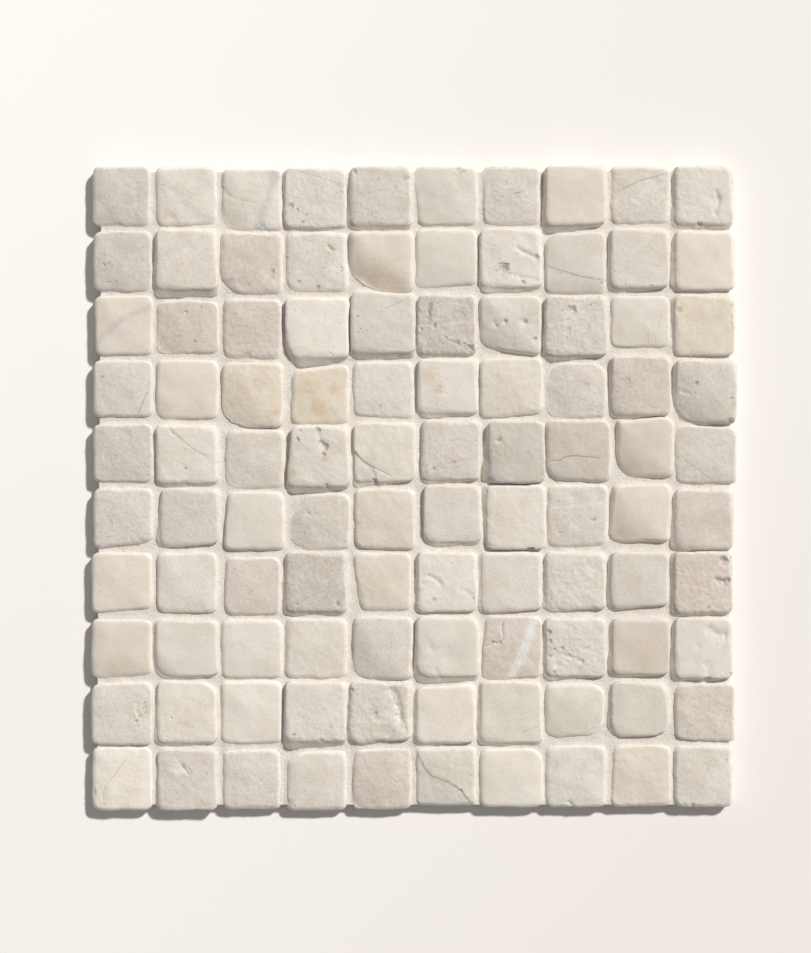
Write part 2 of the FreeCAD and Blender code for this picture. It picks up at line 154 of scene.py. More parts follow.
# Each stone: its kind, its surface, its lightness, and the marks seen on it. A mark's place is in
# shares of the half stone, from the middle, and its sizes are in millimetres:
# pit and dent: x, y, radius, depth; chip: the same on a rim; gouge and groove: points, width, depth;
# crack: points, depth; ledge: points, drop to the right of the line; roll: the direction in which the
# face rolls down, from where, and how far; vein: points, width, tone from -1 (blue grey) to 1 (white);
# stain marks: x, y, radius, strength. Small stains are real ones; the wide ones low on (2, 5), (5, 9)
# and (6, 9) are painted shade where those faces fall away.
stones = {
    (1, 1): ("grey", "worn", -0.1, [
        ("stain", -0.73, 0.0, 1.6, 1.0), ("stain", -0.3, -0.75, 6, 0.4),
        ("groove", [(0.5, 0.5), (0.55, -0.3)], 1.6, 0.2), ("chip", -0.1, -1.0, 3, 0.5),
        ("roll", -0.5, -1, 0.3, 0.8)]),
    (1, 2): ("grey", "worn", 0.05, [
        ("dent", -0.43, 0.15, 2.4, 0.5), ("dent", -0.46, -0.7, 2.2, 0.6),
        ("dent", -0.1, -0.3, 2.5, 0.35), ("dent", 0.35, -0.75, 2, 0.25), ("dent", 0.3, 0.5, 3, 0.2),
        ("dent", 0.75, -0.2, 3, 0.2)]),
    (1, 3): ("cream", "worn", -0.02, [
        ("groove", [(-0.98, 0.35), (-0.8, 0.05), (-0.6, -0.02)], 0.9, 0.4), ("roll", -1, -1, 0.5, 1.0),
        ("crack", [(-0.7, 0.0), (-0.25, -0.14), (0.3, -0.22)], 0.35),
        ("vein", [(0.82, 0.8), (0.62, 0.1), (0.3, -0.95)], 4.2, -1), ("chip", 0.42, -1.0, 1.6, 0.5)]),
    (1, 4): ("grey", "grainy", 0.03, [
        ("pit", -0.82, -0.33, 1.5, 0.6), ("pit", -0.6, -0.45, 0.9, 0.4), ("pit", -0.3, -0.62, 0.9, 0.4),
        ("pit", -0.42, -0.86, 0.8, 0.4), ("crack", [(-0.8, 0.9), (0.0, 0.66), (0.9, 0.35)], 0.4),
        ("dent", 0.1, -0.3, 3.5, 0.2)]),
    (1, 5): ("grey", "grainy", 0.0, [
        ("chip", -0.9, 0.88, 2.0, 0.7), ("pit", -0.84, 0.8, 0.8, 0.7), ("pit", -0.08, 0.55, 0.6, 0.5),
        ("gouge", [(1.0, 0.66), (0.85, 0.55), (0.7, 0.5)], 1.2, 0.35), ("pit", 0.12, 0.18, 0.5, 0.3),
        ("dent", -1.0, 1.0, 9, 0.7)]),
    (1, 6): ("cream", "smooth", -0.04, [
        ("chip", 0.4, 0.9, 1.5, 0.6), ("chip", 0.58, 0.84, 1.2, 0.5), ("pit", 0.5, 0.78, 0.7, 0.4),
        ("roll", -1, 0.3, -0.3, 1.6), ("groove", [(0.3, 0.8), (0.55, 0.3), (0.9, -0.1)], 3.5, 0.3)]),
    (1, 7): ("lilac", "worn", 0.0, [
        ("crack", [(0.1, 0.08), (0.25, 0.12), (0.4, 0.14)], 0.9), ("pit", -0.15, 0.5, 0.6, 0.3),
        ("roll", -1, 1, 0.2, 1.4), ("dent", -0.2, 0.45, 3.5, 0.3), ("dent", 0.2, -0.05, 2, 0.2)]),
    (1, 8): ("peach", "smooth", 0.0, []),
    (1, 9): ("grey", "worn", 0.03, [
        ("vein", [(-0.92, 0.1), (-0.4, 0.32), (-0.1, 0.48), (0.93, 0.78)], 0.9, -1),
        ("crack", [(-0.9, 0.1), (-0.4, 0.32), (-0.1, 0.48), (0.9, 0.77)], 0.45),
        ("chip", 0.2, -1.0, 1.6, 0.5)]),
    (1, 10): ("white", "grainy", -0.02, [
        ("dent", 0.3, -0.1, 4.0, 0.7), ("groove", [(0.34, 0.25), (0.46, -0.15), (0.3, -0.7)], 1.0, 0.7),
        ("stain", 0.4, -0.1, 2.2, 0.35), ("dent", -0.6, 0.5, 5, 0.3), ("chip", -0.2, -0.98, 2.0, 0.9),
        ("pit", -0.55, -0.1, 0.5, 0.3)]),
    (2, 1): ("grey", "worn", -0.09, [
        ("pit", -0.55, -0.12, 0.8, 0.4), ("pit", -0.4, -0.08, 0.7, 0.4), ("pit", -0.3, -0.18, 0.6, 0.3),
        ("pit", -0.45, -0.7, 0.7, 0.3), ("stain", 0.72, 0.5, 0.7, 0.8), ("stain", 0.72, 0.05, 0.8, 0.8),
        ("pit", -0.15, -0.68, 0.6, 0.3)]),
    (2, 2): ("grey", "smooth", 0.07, [("pit", 0.45, -0.4, 0.4, 0.2)]),
    (2, 3): ("tan", "worn", 0.01, [
        ("pit", 0.74, -0.35, 1.0, 0.5), ("pit", 0.72, -0.56, 0.7, 0.4), ("pit", -0.05, -0.78, 0.7, 0.3),
        ("pit", 0.58, 0.75, 0.6, 0.3), ("dent", 0.6, -0.4, 3.5, 0.4), ("dent", -0.3, 0.0, 4, 0.2),
        ("dent", -0.2, -0.75, 6, 0.3)]),
    (2, 4): ("grey", "worn", 0.07, [
        ("gouge", [(0.35, 0.56), (0.5, 0.44), (0.64, 0.3)], 1.0, 0.6), ("pit", 0.86, -0.2, 0.9, 0.4),
        ("pit", 0.84, -0.33, 0.6, 0.4), ("pit", 0.08, -0.86, 1.1, 0.5), ("pit", -0.55, -0.68, 0.8, 0.4),
        ("pit", -0.8, 0.85, 0.8, 0.3), ("pit", -0.98, 0.1, 1.0, 0.5)]),
    # Its wide stain low on the face is painted shade where the face rolls away
    (2, 5): ("peach", "smooth", -0.02, [
        ("roll", -0.45, -1, -0.1, 4.4), ("roll", -1, -0.6, 0.3, 1.2), ("stain", 0.1, -0.6, 11, 0.6)]),
    (2, 6): ("cream", "smooth", -0.01, [("roll", -0.5, -1, 0.0, 1.4)]),
    (2, 7): ("white", "worn", 0.0, [
        ("pit", -0.21, -0.25, 2.6, 1.2), ("pit", -0.36, -0.1, 0.9, 0.5),
        ("stain", -0.21, -0.25, 1.6, 1.0),
        ("groove", [(0.12, 0.5), (0.5, 0.28), (0.98, 0.02)], 1.1, 0.6), ("pit", 0.86, 0.14, 1.1, 0.5),
        ("crack", [(0.12, 0.5), (0.5, 0.28), (0.95, 0.05)], 0.4), ("dent", 0.5, 0.75, 6, 0.4),
        ("groove", [(-0.05, -0.4), (0.4, -0.55), (0.98, -0.62)], 0.8, 0.4),
        ("pit", 0.42, -0.7, 1.1, 0.5)]),
    (2, 8): ("cream", "smooth", -0.09, [
        ("ledge", [(-1.05, -0.12), (-0.4, -0.36), (0.2, -0.54), (0.8, -0.6)], 0.25),
        ("roll", 0, -1, 0.6, 0.8),
        ("crack", [(-1.0, -0.1), (-0.4, -0.34), (0.2, -0.52), (0.8, -0.58)], 0.7),
        ("pit", 0.76, -0.6, 0.7, 0.4), ("pit", 0.88, -0.72, 0.7, 0.4)]),
    (2, 9): ("grey", "smooth", 0.06, [("pit", 0.36, -0.82, 0.6, 0.5)]),
    (2, 10): ("peach", "smooth", 0.08, []),
    (3, 1): ("peach", "smooth", 0.01, [
        ("vein", [(-0.85, -0.6), (-0.2, 0.05), (0.37, 0.38), (0.95, 0.62)], 3.2, -1)]),
    (3, 2): ("tan", "worn", 0.03, [
        ("pit", 0.0, 0.46, 0.8, 0.9), ("pit", 0.5, 0.62, 0.7, 0.4), ("pit", 0.4, 0.4, 0.5, 0.3),
        ("pit", 0.46, 0.1, 0.5, 0.3), ("pit", 0.48, -0.2, 0.5, 0.3), ("pit", 0.3, -0.52, 1.0, 0.4),
        ("crack", [(0.55, 0.75), (0.44, 0.3), (0.46, -0.2), (0.36, -0.5)], 0.35),
        ("roll", -1, -0.8, 0.0, 1.8)]),
    (3, 3): ("tan", "grainy", 0.0, [
        ("crack", [(-0.2, 0.7), (-0.14, 0.1), (-0.2, -0.3)], 0.12), ("chip", -0.1, -1.0, 3, 0.5),
        ("stain", -0.18, -0.18, 0.8, 0.5)]),
    (3, 4): ("white", "smooth", 0.04, [
        ("vein", [(0.3, 0.5), (0.32, 0.25)], 1.2, -0.7), ("crack", [(0.45, -0.85), (0.6, -1.0)], 0.8),
        ("vein", [(0.45, -0.3), (0.5, -0.45)], 1.1, -0.6), ("dent", -1.1, -0.3, 8, 0.6)]),
    (3, 5): ("cream", "worn", -0.12, [
        ("pit", -0.78, 0.3, 0.7, 0.4), ("pit", -0.66, -0.1, 0.6, 0.4), ("pit", -0.74, -0.2, 0.5, 0.4),
        ("pit", -0.45, -0.18, 0.5, 0.3), ("pit", 0.02, 0.45, 0.5, 0.3),
        ("crack", [(0.1, 0.55), (0.5, 0.72), (0.8, 0.88)], 0.6)]),
    (3, 6): ("slate", "rough", 0.03, [
        ("gouge", [(-0.44, 0.9), (-0.56, 0.5), (-0.52, 0.1)], 1.1, 0.7), ("pit", -0.36, 0.0, 1.0, 0.7),
        ("ledge", [(-0.42, 0.02), (-0.95, -0.02)], 0.3), ("pit", 0.8, -0.75, 2.0, 0.9),
        ("pit", 0.4, -0.55, 1.2, 0.5), ("pit", 0.02, -0.38, 0.8, 0.4), ("pit", 0.62, -0.6, 0.9, 0.6),
        ("crack", [(0.0, -0.4), (0.35, -0.55), (0.8, -0.8)], 0.7), ("pit", -0.8, -0.1, 0.8, 0.5)]),
    (3, 7): ("cream", "worn", -0.09, [
        ("groove", [(-0.6, 0.2), (-0.42, -0.08)], 0.8, 0.4), ("dent", -0.18, 0.12, 1.6, 0.6),
        ("dent", 0.46, 0.12, 2.4, 0.9), ("dent", 0.82, -0.46, 1.5, 0.7), ("dent", 0.1, -0.45, 0.9, 0.3),
        ("pit", 0.5, 0.14, 1.0, 0.5), ("pit", -0.16, 0.15, 0.9, 0.6), ("pit", -0.46, 0.0, 0.8, 0.4),
        ("dent", -0.52, -0.6, 1.2, 0.3), ("dent", 0.3, -0.65, 1.0, 0.25),
        ("pit", 0.82, -0.42, 0.9, 0.6), ("roll", -1, -0.7, -0.1, 2.2), ("roll", 0, 1, 0.6, 0.8)]),
    (3, 8): ("lilac", "rough", 0.0, [
        ("pit", -0.08, 0.52, 1.7, 0.9), ("pit", -0.2, 0.62, 1.0, 0.6), ("pit", -0.28, 0.2, 0.9, 0.3),
        ("pit", -0.22, -0.1, 1.0, 0.4), ("pit", -0.3, -0.4, 0.8, 0.3), ("pit", 0.5, 0.68, 0.7, 0.3),
        ("vein", [(-0.35, 0.3), (-0.3, -0.7)], 2.6, 0.6)]),
    (3, 9): ("cream", "smooth", -0.01, [
        ("crack", [(0.3, -0.7), (0.24, -0.3), (0.3, -0.1)], 0.3), ("dent", -1.1, -0.4, 8, 0.4),
        ("crack", [(0.5, -0.8), (0.52, -0.3), (0.64, 0.15), (0.75, 0.45)], 0.35)]),
    (3, 10): ("honey", "smooth", 0.0, [
        ("chip", 0.88, 0.65, 1.6, 0.5), ("chip", 0.9, 0.3, 1.2, 0.4), ("chip", 0.98, -0.1, 1.4, 0.4),
        ("crack", [(0.86, 0.5), (0.9, 0.0), (0.96, -0.6)], 0.6), ("chip", -0.88, 0.5, 1.8, 0.5)]),
    (4, 1): ("grey", "worn", 0.01, [
        ("stain", -0.62, 0.46, 1.1, 1.0), ("pit", -0.62, 0.46, 0.8, 0.3),
        ("crack", [(0.9, 0.0), (0.7, -0.4), (0.56, -0.8)], 0.8),
        ("crack", [(-0.2, 0.2), (-0.1, -0.2), (0.0, -0.3)], 0.2)]),
    (4, 2): ("peach", "smooth", 0.02, [("roll", -0.6, -1, 0.5, 0.8)]),
    (4, 3): ("honey", "worn", 0.02, [
        ("vein", [(-0.15, 0.85), (0.02, 0.12), (0.4, -0.85)], 3.0, 0.4),
        ("stain", 0.16, 0.35, 1.6, 0.8), ("roll", -1, -1, 0.0, 1.8), ("stain", -0.2, -0.1, 6, 0.3),
        ("stain", 0.85, -0.7, 2.4, 0.7), ("pit", -0.3, -0.35, 0.6, 0.25)]),
    (4, 4): ("honey", "worn", -0.01, [
        ("stain", 0.1, -0.55, 5, 1.0), ("stain", -0.2, 0.2, 6, 0.6), ("stain", 0.6, 0.1, 4, 0.6),
        ("dent", -1.0, 1.0, 9, 0.5)]),
    (4, 5): ("white", "worn", 0.0, [
        ("pit", -0.02, -0.5, 0.8, 0.3), ("crack", [(-0.5, -0.1), (0.0, -0.55)], 0.25),
        ("dent", -0.3, -0.5, 4, 0.2)]),
    (4, 6): ("white", "smooth", 0.0, [
        ("stain", -0.2, 0.08, 2.4, 1.0), ("stain", -0.6, 0.5, 5.5, 0.7),
        ("crack", [(-0.3, 0.6), (-0.16, 0.15)], 0.2)]),
    (4, 7): ("cream", "worn", 0.0, [
        ("pit", -0.4, -0.7, 0.6, 0.2), ("stain", -0.2, 0.1, 9, 0.2), ("roll", -0.3, -1, 0.6, 0.7)]),
    (4, 8): ("lilac", "worn", 0.01, [
        ("pit", -0.9, -0.2, 0.6, 0.4), ("pit", 0.55, -0.65, 0.8, 0.3), ("roll", -1, 0.5, 0.1, 1.8),
        ("roll", -1, -1, 0.2, 1.4), ("roll", 1, 1, 0.6, 0.7)]),
    (4, 9): ("tan", "grainy", 0.03, [
        ("stain", -0.42, 0.42, 1.3, 1.0), ("stain", -0.34, 0.3, 1.0, 1.0),
        ("pit", -0.38, 0.38, 0.8, 0.4), ("roll", -1, -0.5, 0.4, 0.8)]),
    (4, 10): ("grey", "worn", -0.02, [
        ("pit", -0.3, 0.24, 1.0, 0.6),
        ("groove", [(-0.8, 0.02), (-0.65, -0.08), (-0.5, -0.05)], 0.8, 0.5),
        ("pit", 0.84, -0.26, 0.9, 0.5), ("pit", 0.66, 0.7, 0.6, 0.3), ("chip", 0.8, -1.0, 2.0, 0.6),
        ("roll", -1, -1, -0.2, 3.2)]),
    (5, 1): ("lilac", "grainy", -0.03, [("chip", -0.9, -0.95, 2.2, 0.8)]),
    (5, 2): ("cream", "worn", 0.01, [
        ("crack", [(-0.6, 0.95), (-0.42, 0.76), (-0.2, 0.6), (0.3, 0.2), (0.8, -0.08)], 0.6),
        ("groove", [(-0.62, 1.0), (-0.45, 0.8), (-0.25, 0.62)], 0.6, 0.4),
        ("pit", 0.0, -0.42, 1.0, 0.4), ("chip", 0.0, -1.0, 2.4, 0.4)]),
    (5, 3): ("grey", "worn", 0.0, [("roll", -0.6, -1, 0.0, 1.3)]),
    (5, 4): ("cream", "worn", -0.02, [
        ("pit", -0.6, 0.55, 0.9, 0.8), ("pit", 0.3, 0.3, 1.9, 1.2), ("pit", 0.2, 0.42, 1.2, 0.8),
        ("pit", 0.08, 0.85, 1.4, 0.8), ("pit", 0.26, 0.04, 1.0, 0.7), ("pit", -0.95, 0.1, 0.9, 0.6),
        ("pit", -0.95, -0.5, 0.9, 0.7), ("groove", [(0.1, 0.85), (0.15, 0.5), (0.3, 0.3)], 1.0, 0.4),
        ("dent", 0.3, 0.3, 3.5, 0.5), ("stain", 0.3, -0.1, 1.9, 1.0), ("stain", -0.8, -0.5, 2.6, 1.0),
        ("stain", 0.4, -0.9, 2, 0.8), ("stain", 0.6, 0.3, 5, 0.3), ("chip", 0.35, -0.98, 1.4, 0.6),
        ("pit", -0.5, 0.85, 0.7, 0.4)]),
    (5, 5): ("cream", "worn", -0.02, [
        ("ledge", [(1.0, -0.95), (-0.05, -0.98), (-0.22, -0.4), (-0.62, -0.12), (-1.0, 0.3)], -0.6),
        ("crack", [(-0.96, 0.26), (-0.62, -0.14), (-0.2, -0.4), (0.4, -0.68)], 1.0),
        ("vein", [(-0.7, -0.5), (-0.4, -0.8)], 5, -0.8), ("pit", -0.2, -0.85, 1.3, 0.6)]),
    (5, 6): ("lilac", "grainy", 0.01, [
        ("pit", -0.4, -0.42, 0.8, 0.5), ("pit", -0.62, -0.55, 0.6, 0.4), ("pit", 0.3, -0.2, 0.6, 0.4),
        ("crack", [(-0.85, -0.65), (-0.4, -0.42), (0.25, -0.22), (0.95, -0.1)], 0.3),
        ("dent", 0.4, -1.0, 7, 0.5)]),
    (5, 7): ("green", "grainy", -0.15, [
        ("gouge", [(-0.5, 0.5), (-0.3, 0.58)], 1.0, 0.6), ("dent", -0.38, 0.5, 2.4, 0.5),
        ("roll", -1, -0.3, 0.5, 0.8), ("vein", [(-0.6, -0.3), (-0.2, -0.9)], 4, -0.8)]),
    (5, 8): ("peach", "worn", -0.18, [
        ("crack", [(-0.95, -0.2), (-0.75, -0.15), (-0.5, -0.16), (-0.42, -0.06), (-0.1, 0.0),
            (0.3, -0.02), (0.6, -0.05), (0.96, -0.1)], 0.7), ("roll", -0.3, -1, 0.5, 0.7)]),
    # Its wide stain low on the face is painted shade where the face rolls away
    (5, 9): ("peach", "smooth", -0.06, [("roll", -0.8, -1, -0.1, 4.4), ("stain", -0.5, -0.6, 11, 0.5)]),
    (5, 10): ("grey", "worn", -0.02, [
        ("crack", [(-0.8, -0.1), (-0.6, -0.2), (-0.3, -0.4), (-0.05, -0.62), (0.1, -0.7),
            (0.4, -0.95)], 0.55), ("pit", -0.1, -0.64, 0.6, 0.25)]),
    (6, 1): ("lilac", "grainy", 0.0, [("chip", -0.9, -0.95, 2.0, 0.6)]),
    (6, 2): ("lilac", "grainy", 0.0, [("roll", -0.2, -1, 0.6, 0.6)]),
    (6, 3): ("cream", "smooth", -0.07, []),
    (6, 4): ("grey", "worn", -0.02, [
        ("dent", -0.26, 0.25, 1.6, 0.5), ("pit", -0.24, 0.25, 0.6, 0.4),
        ("pit", -0.4, -0.42, 0.7, 0.25), ("pit", -0.22, -0.5, 0.6, 0.25),
        ("pit", 0.02, -0.45, 0.6, 0.2), ("roll", -1, 0.3, 0.0, 1.8), ("roll", -1, -1, 0.2, 1.4)]),
    (6, 5): ("peach", "worn", -0.05, [
        ("vein", [(-0.2, -0.4), (-0.15, -0.9)], 1.6, 0.7), ("pit", -0.3, -0.1, 0.7, 0.2),
        ("pit", 0.5, -0.55, 0.6, 0.2)]),
    (6, 6): ("grey", "smooth", 0.02, [("roll", 0, -1, 0.3, 1.4), ("stain", 0.0, -0.1, 5, 0.1)]),
    (6, 7): ("cream", "worn", -0.02, [
        ("crack", [(-0.98, -0.6), (-0.7, -0.8), (-0.4, -0.84)], 0.4), ("pit", 0.72, -0.94, 0.9, 0.9),
        ("pit", 0.6, -0.94, 0.7, 0.7), ("pit", -0.88, -0.62, 0.7, 0.5), ("stain", 0.0, 0.0, 9, 0.15)]),
    (6, 8): ("lilac", "worn", 0.02, [
        ("vein", [(-0.8, 0.4), (0.1, 0.5), (0.9, 0.6)], 1.4, 0.8),
        ("gouge", [(0.4, 0.12), (0.55, 0.0), (0.7, 0.1)], 0.8, 0.5), ("pit", -0.5, -0.4, 0.6, 0.3)]),
    # Its wide stain low on the face is painted shade where the face rolls away
    (6, 9): ("peach", "smooth", 0.01, [
        ("pit", 0.5, -0.3, 0.5, 0.2), ("pit", 0.3, -0.5, 0.5, 0.2), ("roll", -1, -1, -0.1, 3.0),
        ("stain", -0.5, -0.4, 8, 0.4)]),
    (6, 10): ("tan", "worn", 0.03, []),
    (7, 1): ("peach", "smooth", 0.05, [("pit", -0.7, -0.2, 0.6, 0.15), ("pit", -0.8, 0.4, 0.5, 0.15)]),
    (7, 2): ("grey", "smooth", 0.04, []),
    (7, 3): ("tan", "smooth", 0.02, [("crack", [(-0.6, -0.2), (0.1, -0.6), (0.5, -0.5)], 0.12)]),
    (7, 4): ("slate", "grainy", 0.02, [
        ("stain", 0.3, 0.76, 1.5, 1.0), ("dent", 0.3, 0.76, 1.4, 0.3),
        ("gouge", [(0.68, -0.45), (0.8, -0.72)], 0.9, 0.5),
        ("crack", [(-0.6, -0.7), (0.2, -0.5), (0.5, -0.3)], 0.25), ("pit", -0.6, -0.6, 0.8, 0.25),
        ("pit", -0.8, 0.3, 1.0, 0.2), ("pit", 0.8, 0.5, 1.0, 0.2), ("pit", -0.6, -0.8, 1.0, 0.2)]),
    (7, 5): ("peach", "grainy", 0.0, [("stain", -0.1, 0.1, 9, 0.25)]),
    (7, 6): ("white", "worn", -0.02, [
        ("groove", [(-0.65, 0.36), (-0.4, 0.26), (-0.1, 0.0)], 1.1, 0.7),
        ("groove", [(-0.8, 0.15), (-0.6, 0.0)], 0.8, 0.3), ("pit", -0.38, -0.45, 1.3, 0.4),
        ("groove", [(0.4, -0.1), (0.7, -0.2), (1.0, -0.4)], 1.0, 0.4), ("pit", 0.92, -0.42, 0.9, 0.4),
        ("dent", -0.35, 0.0, 4, 0.4), ("pit", 0.2, 0.75, 0.8, 0.3)]),
    (7, 7): ("grey", "smooth", 0.06, []),
    (7, 8): ("white", "rough", -0.02, [
        ("crack", [(-0.9, -0.1), (0.0, -0.08), (0.8, -0.1)], 0.15), ("dent", 0.6, 0.6, 3, 0.3),
        ("roll", -1, -1, 0.6, 0.8), ("pit", -0.8, -0.45, 0.8, 0.3), ("pit", -0.7, 0.5, 0.7, 0.3)]),
    (7, 9): ("grey", "smooth", 0.0, [("roll", -0.3, -1, 0.5, 0.7)]),
    (7, 10): ("tan", "rough", 0.02, [
        ("chip", 0.6, 0.86, 2.6, 1.3), ("gouge", [(0.25, 0.28), (0.5, 0.14), (0.9, 0.2)], 1.5, 1.2),
        ("pit", 0.66, 0.06, 1.2, 0.6), ("pit", 0.08, -0.3, 0.7, 0.4), ("pit", 0.1, -0.72, 0.9, 0.5),
        ("pit", 0.9, 0.9, 1.2, 0.6), ("stain", -0.3, 0.2, 10, 0.25)]),
    (8, 1): ("peach", "smooth", -0.06, [("stain", -0.1, -0.6, 9, 0.35), ("roll", -0.2, -1, 0.1, 1.2)]),
    (8, 2): ("cream", "smooth", -0.04, [("roll", -1, -1, 0.6, 0.8)]),
    (8, 3): ("cream", "smooth", 0.02, [("pit", -0.25, 0.1, 0.5, 0.15)]),
    (8, 4): ("cream", "worn", 0.0, [
        ("chip", -0.98, 0.1, 1.3, 0.4), ("dent", -0.9, 0.85, 2.4, 0.5), ("stain", -0.8, 0.65, 4, 0.35),
        ("stain", -0.85, 0.1, 1.6, 0.6), ("pit", -0.4, -0.6, 0.6, 0.25)]),
    (8, 5): ("grey", "worn", 0.0, [
        ("groove", [(-0.7, -0.02), (-0.5, -0.15), (-0.4, -0.1)], 0.9, 0.3), ("roll", -1, -1, 0.0, 2.6),
        ("stain", -0.5, -0.15, 1.6, 0.3)]),
    (8, 6): ("cream", "smooth", -0.02, [
        ("dent", -0.46, 0.06, 3.0, 0.5), ("dent", 0.2, -0.2, 8, 0.5),
        ("groove", [(-0.6, 0.4), (-0.45, 0.05)], 1.2, 0.25),
        ("groove", [(-0.4, -0.5), (-0.25, -0.75), (-0.1, -1.0)], 1.0, 0.3)]),
    (8, 7): ("tan", "worn", 0.02, [
        ("groove", [(-0.24, 1.0), (-0.27, 0.72), (-0.22, 0.5), (-0.28, 0.28)], 0.5, 0.45),
        ("groove", [(-0.28, 0.28), (-0.42, 0.2), (-0.56, 0.28), (-0.68, 0.16), (-0.9, 0.1)], 0.6, 0.6),
        ("crack", [(-0.24, 1.0), (-0.27, 0.72), (-0.22, 0.5), (-0.28, 0.28)], 0.7),
        ("pit", -0.34, 0.28, 1.0, 0.4), ("crack", [(-0.4, 0.22), (-0.56, 0.3), (-0.68, 0.18)], 0.8),
        ("pit", -0.6, 0.28, 0.8, 0.4), ("vein", [(0.78, 0.98), (0.45, 0.0), (0.02, -1.0)], 5.0, 1),
        ("roll", -0.6, -1, 0.4, 0.9)]),
    (8, 8): ("white", "rough", -0.03, [
        ("pit", -0.88, 0.6, 1.4, 0.7), ("pit", -0.84, 0.3, 1.1, 0.6), ("pit", -0.44, 0.08, 1.0, 0.6),
        ("dent", -0.62, -0.45, 2.2, 0.6),
        ("groove", [(-0.5, -0.12), (-0.2, -0.2), (0.05, -0.26), (0.3, -0.4)], 0.9, 0.5),
        ("pit", 0.24, -0.36, 0.9, 0.5), ("pit", -0.85, -0.2, 0.9, 0.5), ("pit", -0.7, 0.05, 0.9, 0.4),
        ("pit", 0.2, 0.5, 0.7, 0.3), ("pit", -0.7, -0.7, 1.0, 0.4), ("pit", 0.0, 0.7, 0.6, 0.3),
        ("pit", 0.4, 0.1, 0.7, 0.3), ("pit", -0.2, -0.15, 0.8, 0.4)]),
    (8, 9): ("peach", "smooth", -0.11, [("stain", 0.0, -0.1, 12, 0.3)]),
    (8, 10): ("white", "smooth", -0.01, [
        ("groove", [(0.0, 0.8), (0.35, 0.55), (0.75, 0.5)], 2.2, 0.9), ("dent", 0.75, 0.55, 4, 0.5),
        ("dent", -0.24, 0.12, 1.6, 0.4), ("chip", 0.1, -1.0, 2.4, 0.7), ("dent", -0.4, -0.3, 5, 0.4),
        ("groove", [(0.0, -0.3), (0.15, -0.7), (0.1, -1.0)], 1.6, 0.4), ("pit", 0.9, -0.8, 1.2, 0.4)]),
    (9, 1): ("grey", "grainy", 0.01, [
        ("groove", [(0.8, 0.4), (0.7, 0.1), (0.5, -0.28)], 2.2, 0.4), ("pit", 0.52, -0.2, 0.9, 0.5),
        ("pit", 0.64, 0.0, 0.9, 0.45), ("pit", 0.74, 0.22, 0.8, 0.4), ("pit", 0.6, -0.08, 0.6, 0.25),
        ("pit", 0.78, 0.42, 0.7, 0.35), ("pit", 0.84, 0.1, 0.6, 0.3),
        ("groove", [(0.5, 0.2), (0.72, -0.1)], 0.6, 0.3)]),
    (9, 2): ("cream", "worn", 0.01, [
        ("pit", -0.48, -0.08, 0.6, 0.8), ("pit", -0.2, 0.35, 0.4, 0.3), ("stain", 0.1, 0.15, 3, 0.25)]),
    (9, 3): ("cream", "smooth", 0.03, [("pit", -0.35, 0.85, 0.5, 0.3)]),
    (9, 4): ("white", "grainy", -0.04, [
        ("pit", -0.72, -0.62, 0.9, 0.5), ("pit", 0.18, -0.82, 1.1, 0.6), ("pit", -0.4, -0.05, 0.6, 0.4),
        ("pit", -0.45, 0.3, 0.5, 0.3), ("pit", 0.5, -0.35, 0.6, 0.35), ("pit", 0.2, 0.2, 0.5, 0.3)]),
    (9, 5): ("grey", "rough", 0.0, [
        ("groove", [(0.22, 0.95), (0.5, 0.7), (0.62, 0.2), (0.66, -0.35)], 1.7, 1.3),
        ("groove", [(0.6, 0.1), (0.72, -0.3), (0.9, -0.7)], 1.6, 0.5),
        ("groove", [(-0.3, 0.1), (-0.1, -0.12), (0.15, -0.1)], 1.4, 0.6), ("dent", -0.3, 0.3, 4, 0.4),
        ("pit", -0.15, 0.08, 1.0, 0.4), ("pit", -0.95, 0.85, 1.2, 0.7), ("chip", 0.0, -1.0, 3, 0.7),
        ("dent", 0.2, -0.6, 5, 0.5)]),
    (9, 6): ("cream", "smooth", 0.02, [("crack", [(-0.8, -0.2), (0.2, -0.22), (0.7, -0.18)], 0.08)]),
    (9, 7): ("green", "smooth", 0.02, [("crack", [(0.35, -0.6), (0.6, -0.45), (0.95, -0.38)], 0.4)]),
    (9, 8): ("green", "smooth", 0.02, [("roll", 1, -1, 0.3, 1.6), ("roll", -1, -0.8, 0.3, 1.0)]),
    (9, 9): ("green", "smooth", 0.0, [("pit", -0.95, 0.35, 0.7, 0.4), ("roll", -0.6, -1, 0.5, 0.8)]),
    (9, 10): ("tan", "grainy", 0.03, [("pit", 0.45, 0.0, 0.6, 0.2)]),
    (10, 1): ("cream", "worn", 0.05, [
        ("crack", [(0.25, 0.8), (-0.25, 0.15), (-0.6, -0.4), (-0.58, -0.75), (-0.35, -0.95)], 0.45),
        ("chip", -0.9, -0.4, 2.2, 0.5)]),
    (10, 2): ("lilac", "worn", 0.0, [
        ("groove", [(-0.18, 0.58), (-0.02, 0.36), (0.14, 0.14)], 0.7, 0.6),
        ("groove", [(0.0, 0.52), (0.2, 0.26)], 0.5, 0.4), ("crack", [(-0.16, 0.55), (0.1, 0.2)], 0.7),
        ("dent", -0.2, 0.4, 3, 0.3), ("vein", [(-0.5, 0.35), (-0.1, 0.3)], 3, 0.8),
        ("stain", 0.4, -0.8, 3, 0.3)]),
    (10, 3): ("grey", "grainy", 0.0, [("chip", 0.4, -0.9, 1.6, 0.4)]),
    (10, 4): ("grey", "smooth", 0.03, [
        ("chip", -0.9, -0.75, 2.4, 0.6), ("pit", -0.7, -0.85, 0.8, 0.4)]),
    (10, 5): ("tan", "worn", 0.0, [
        ("dent", 0.2, -0.6, 3, 0.25), ("pit", 0.3, -0.75, 0.7, 0.3), ("roll", -1, -1, 0.2, 1.2),
        ("roll", 1, 1, 0.5, 0.8), ("dent", -0.4, 0.3, 3, 0.25)]),
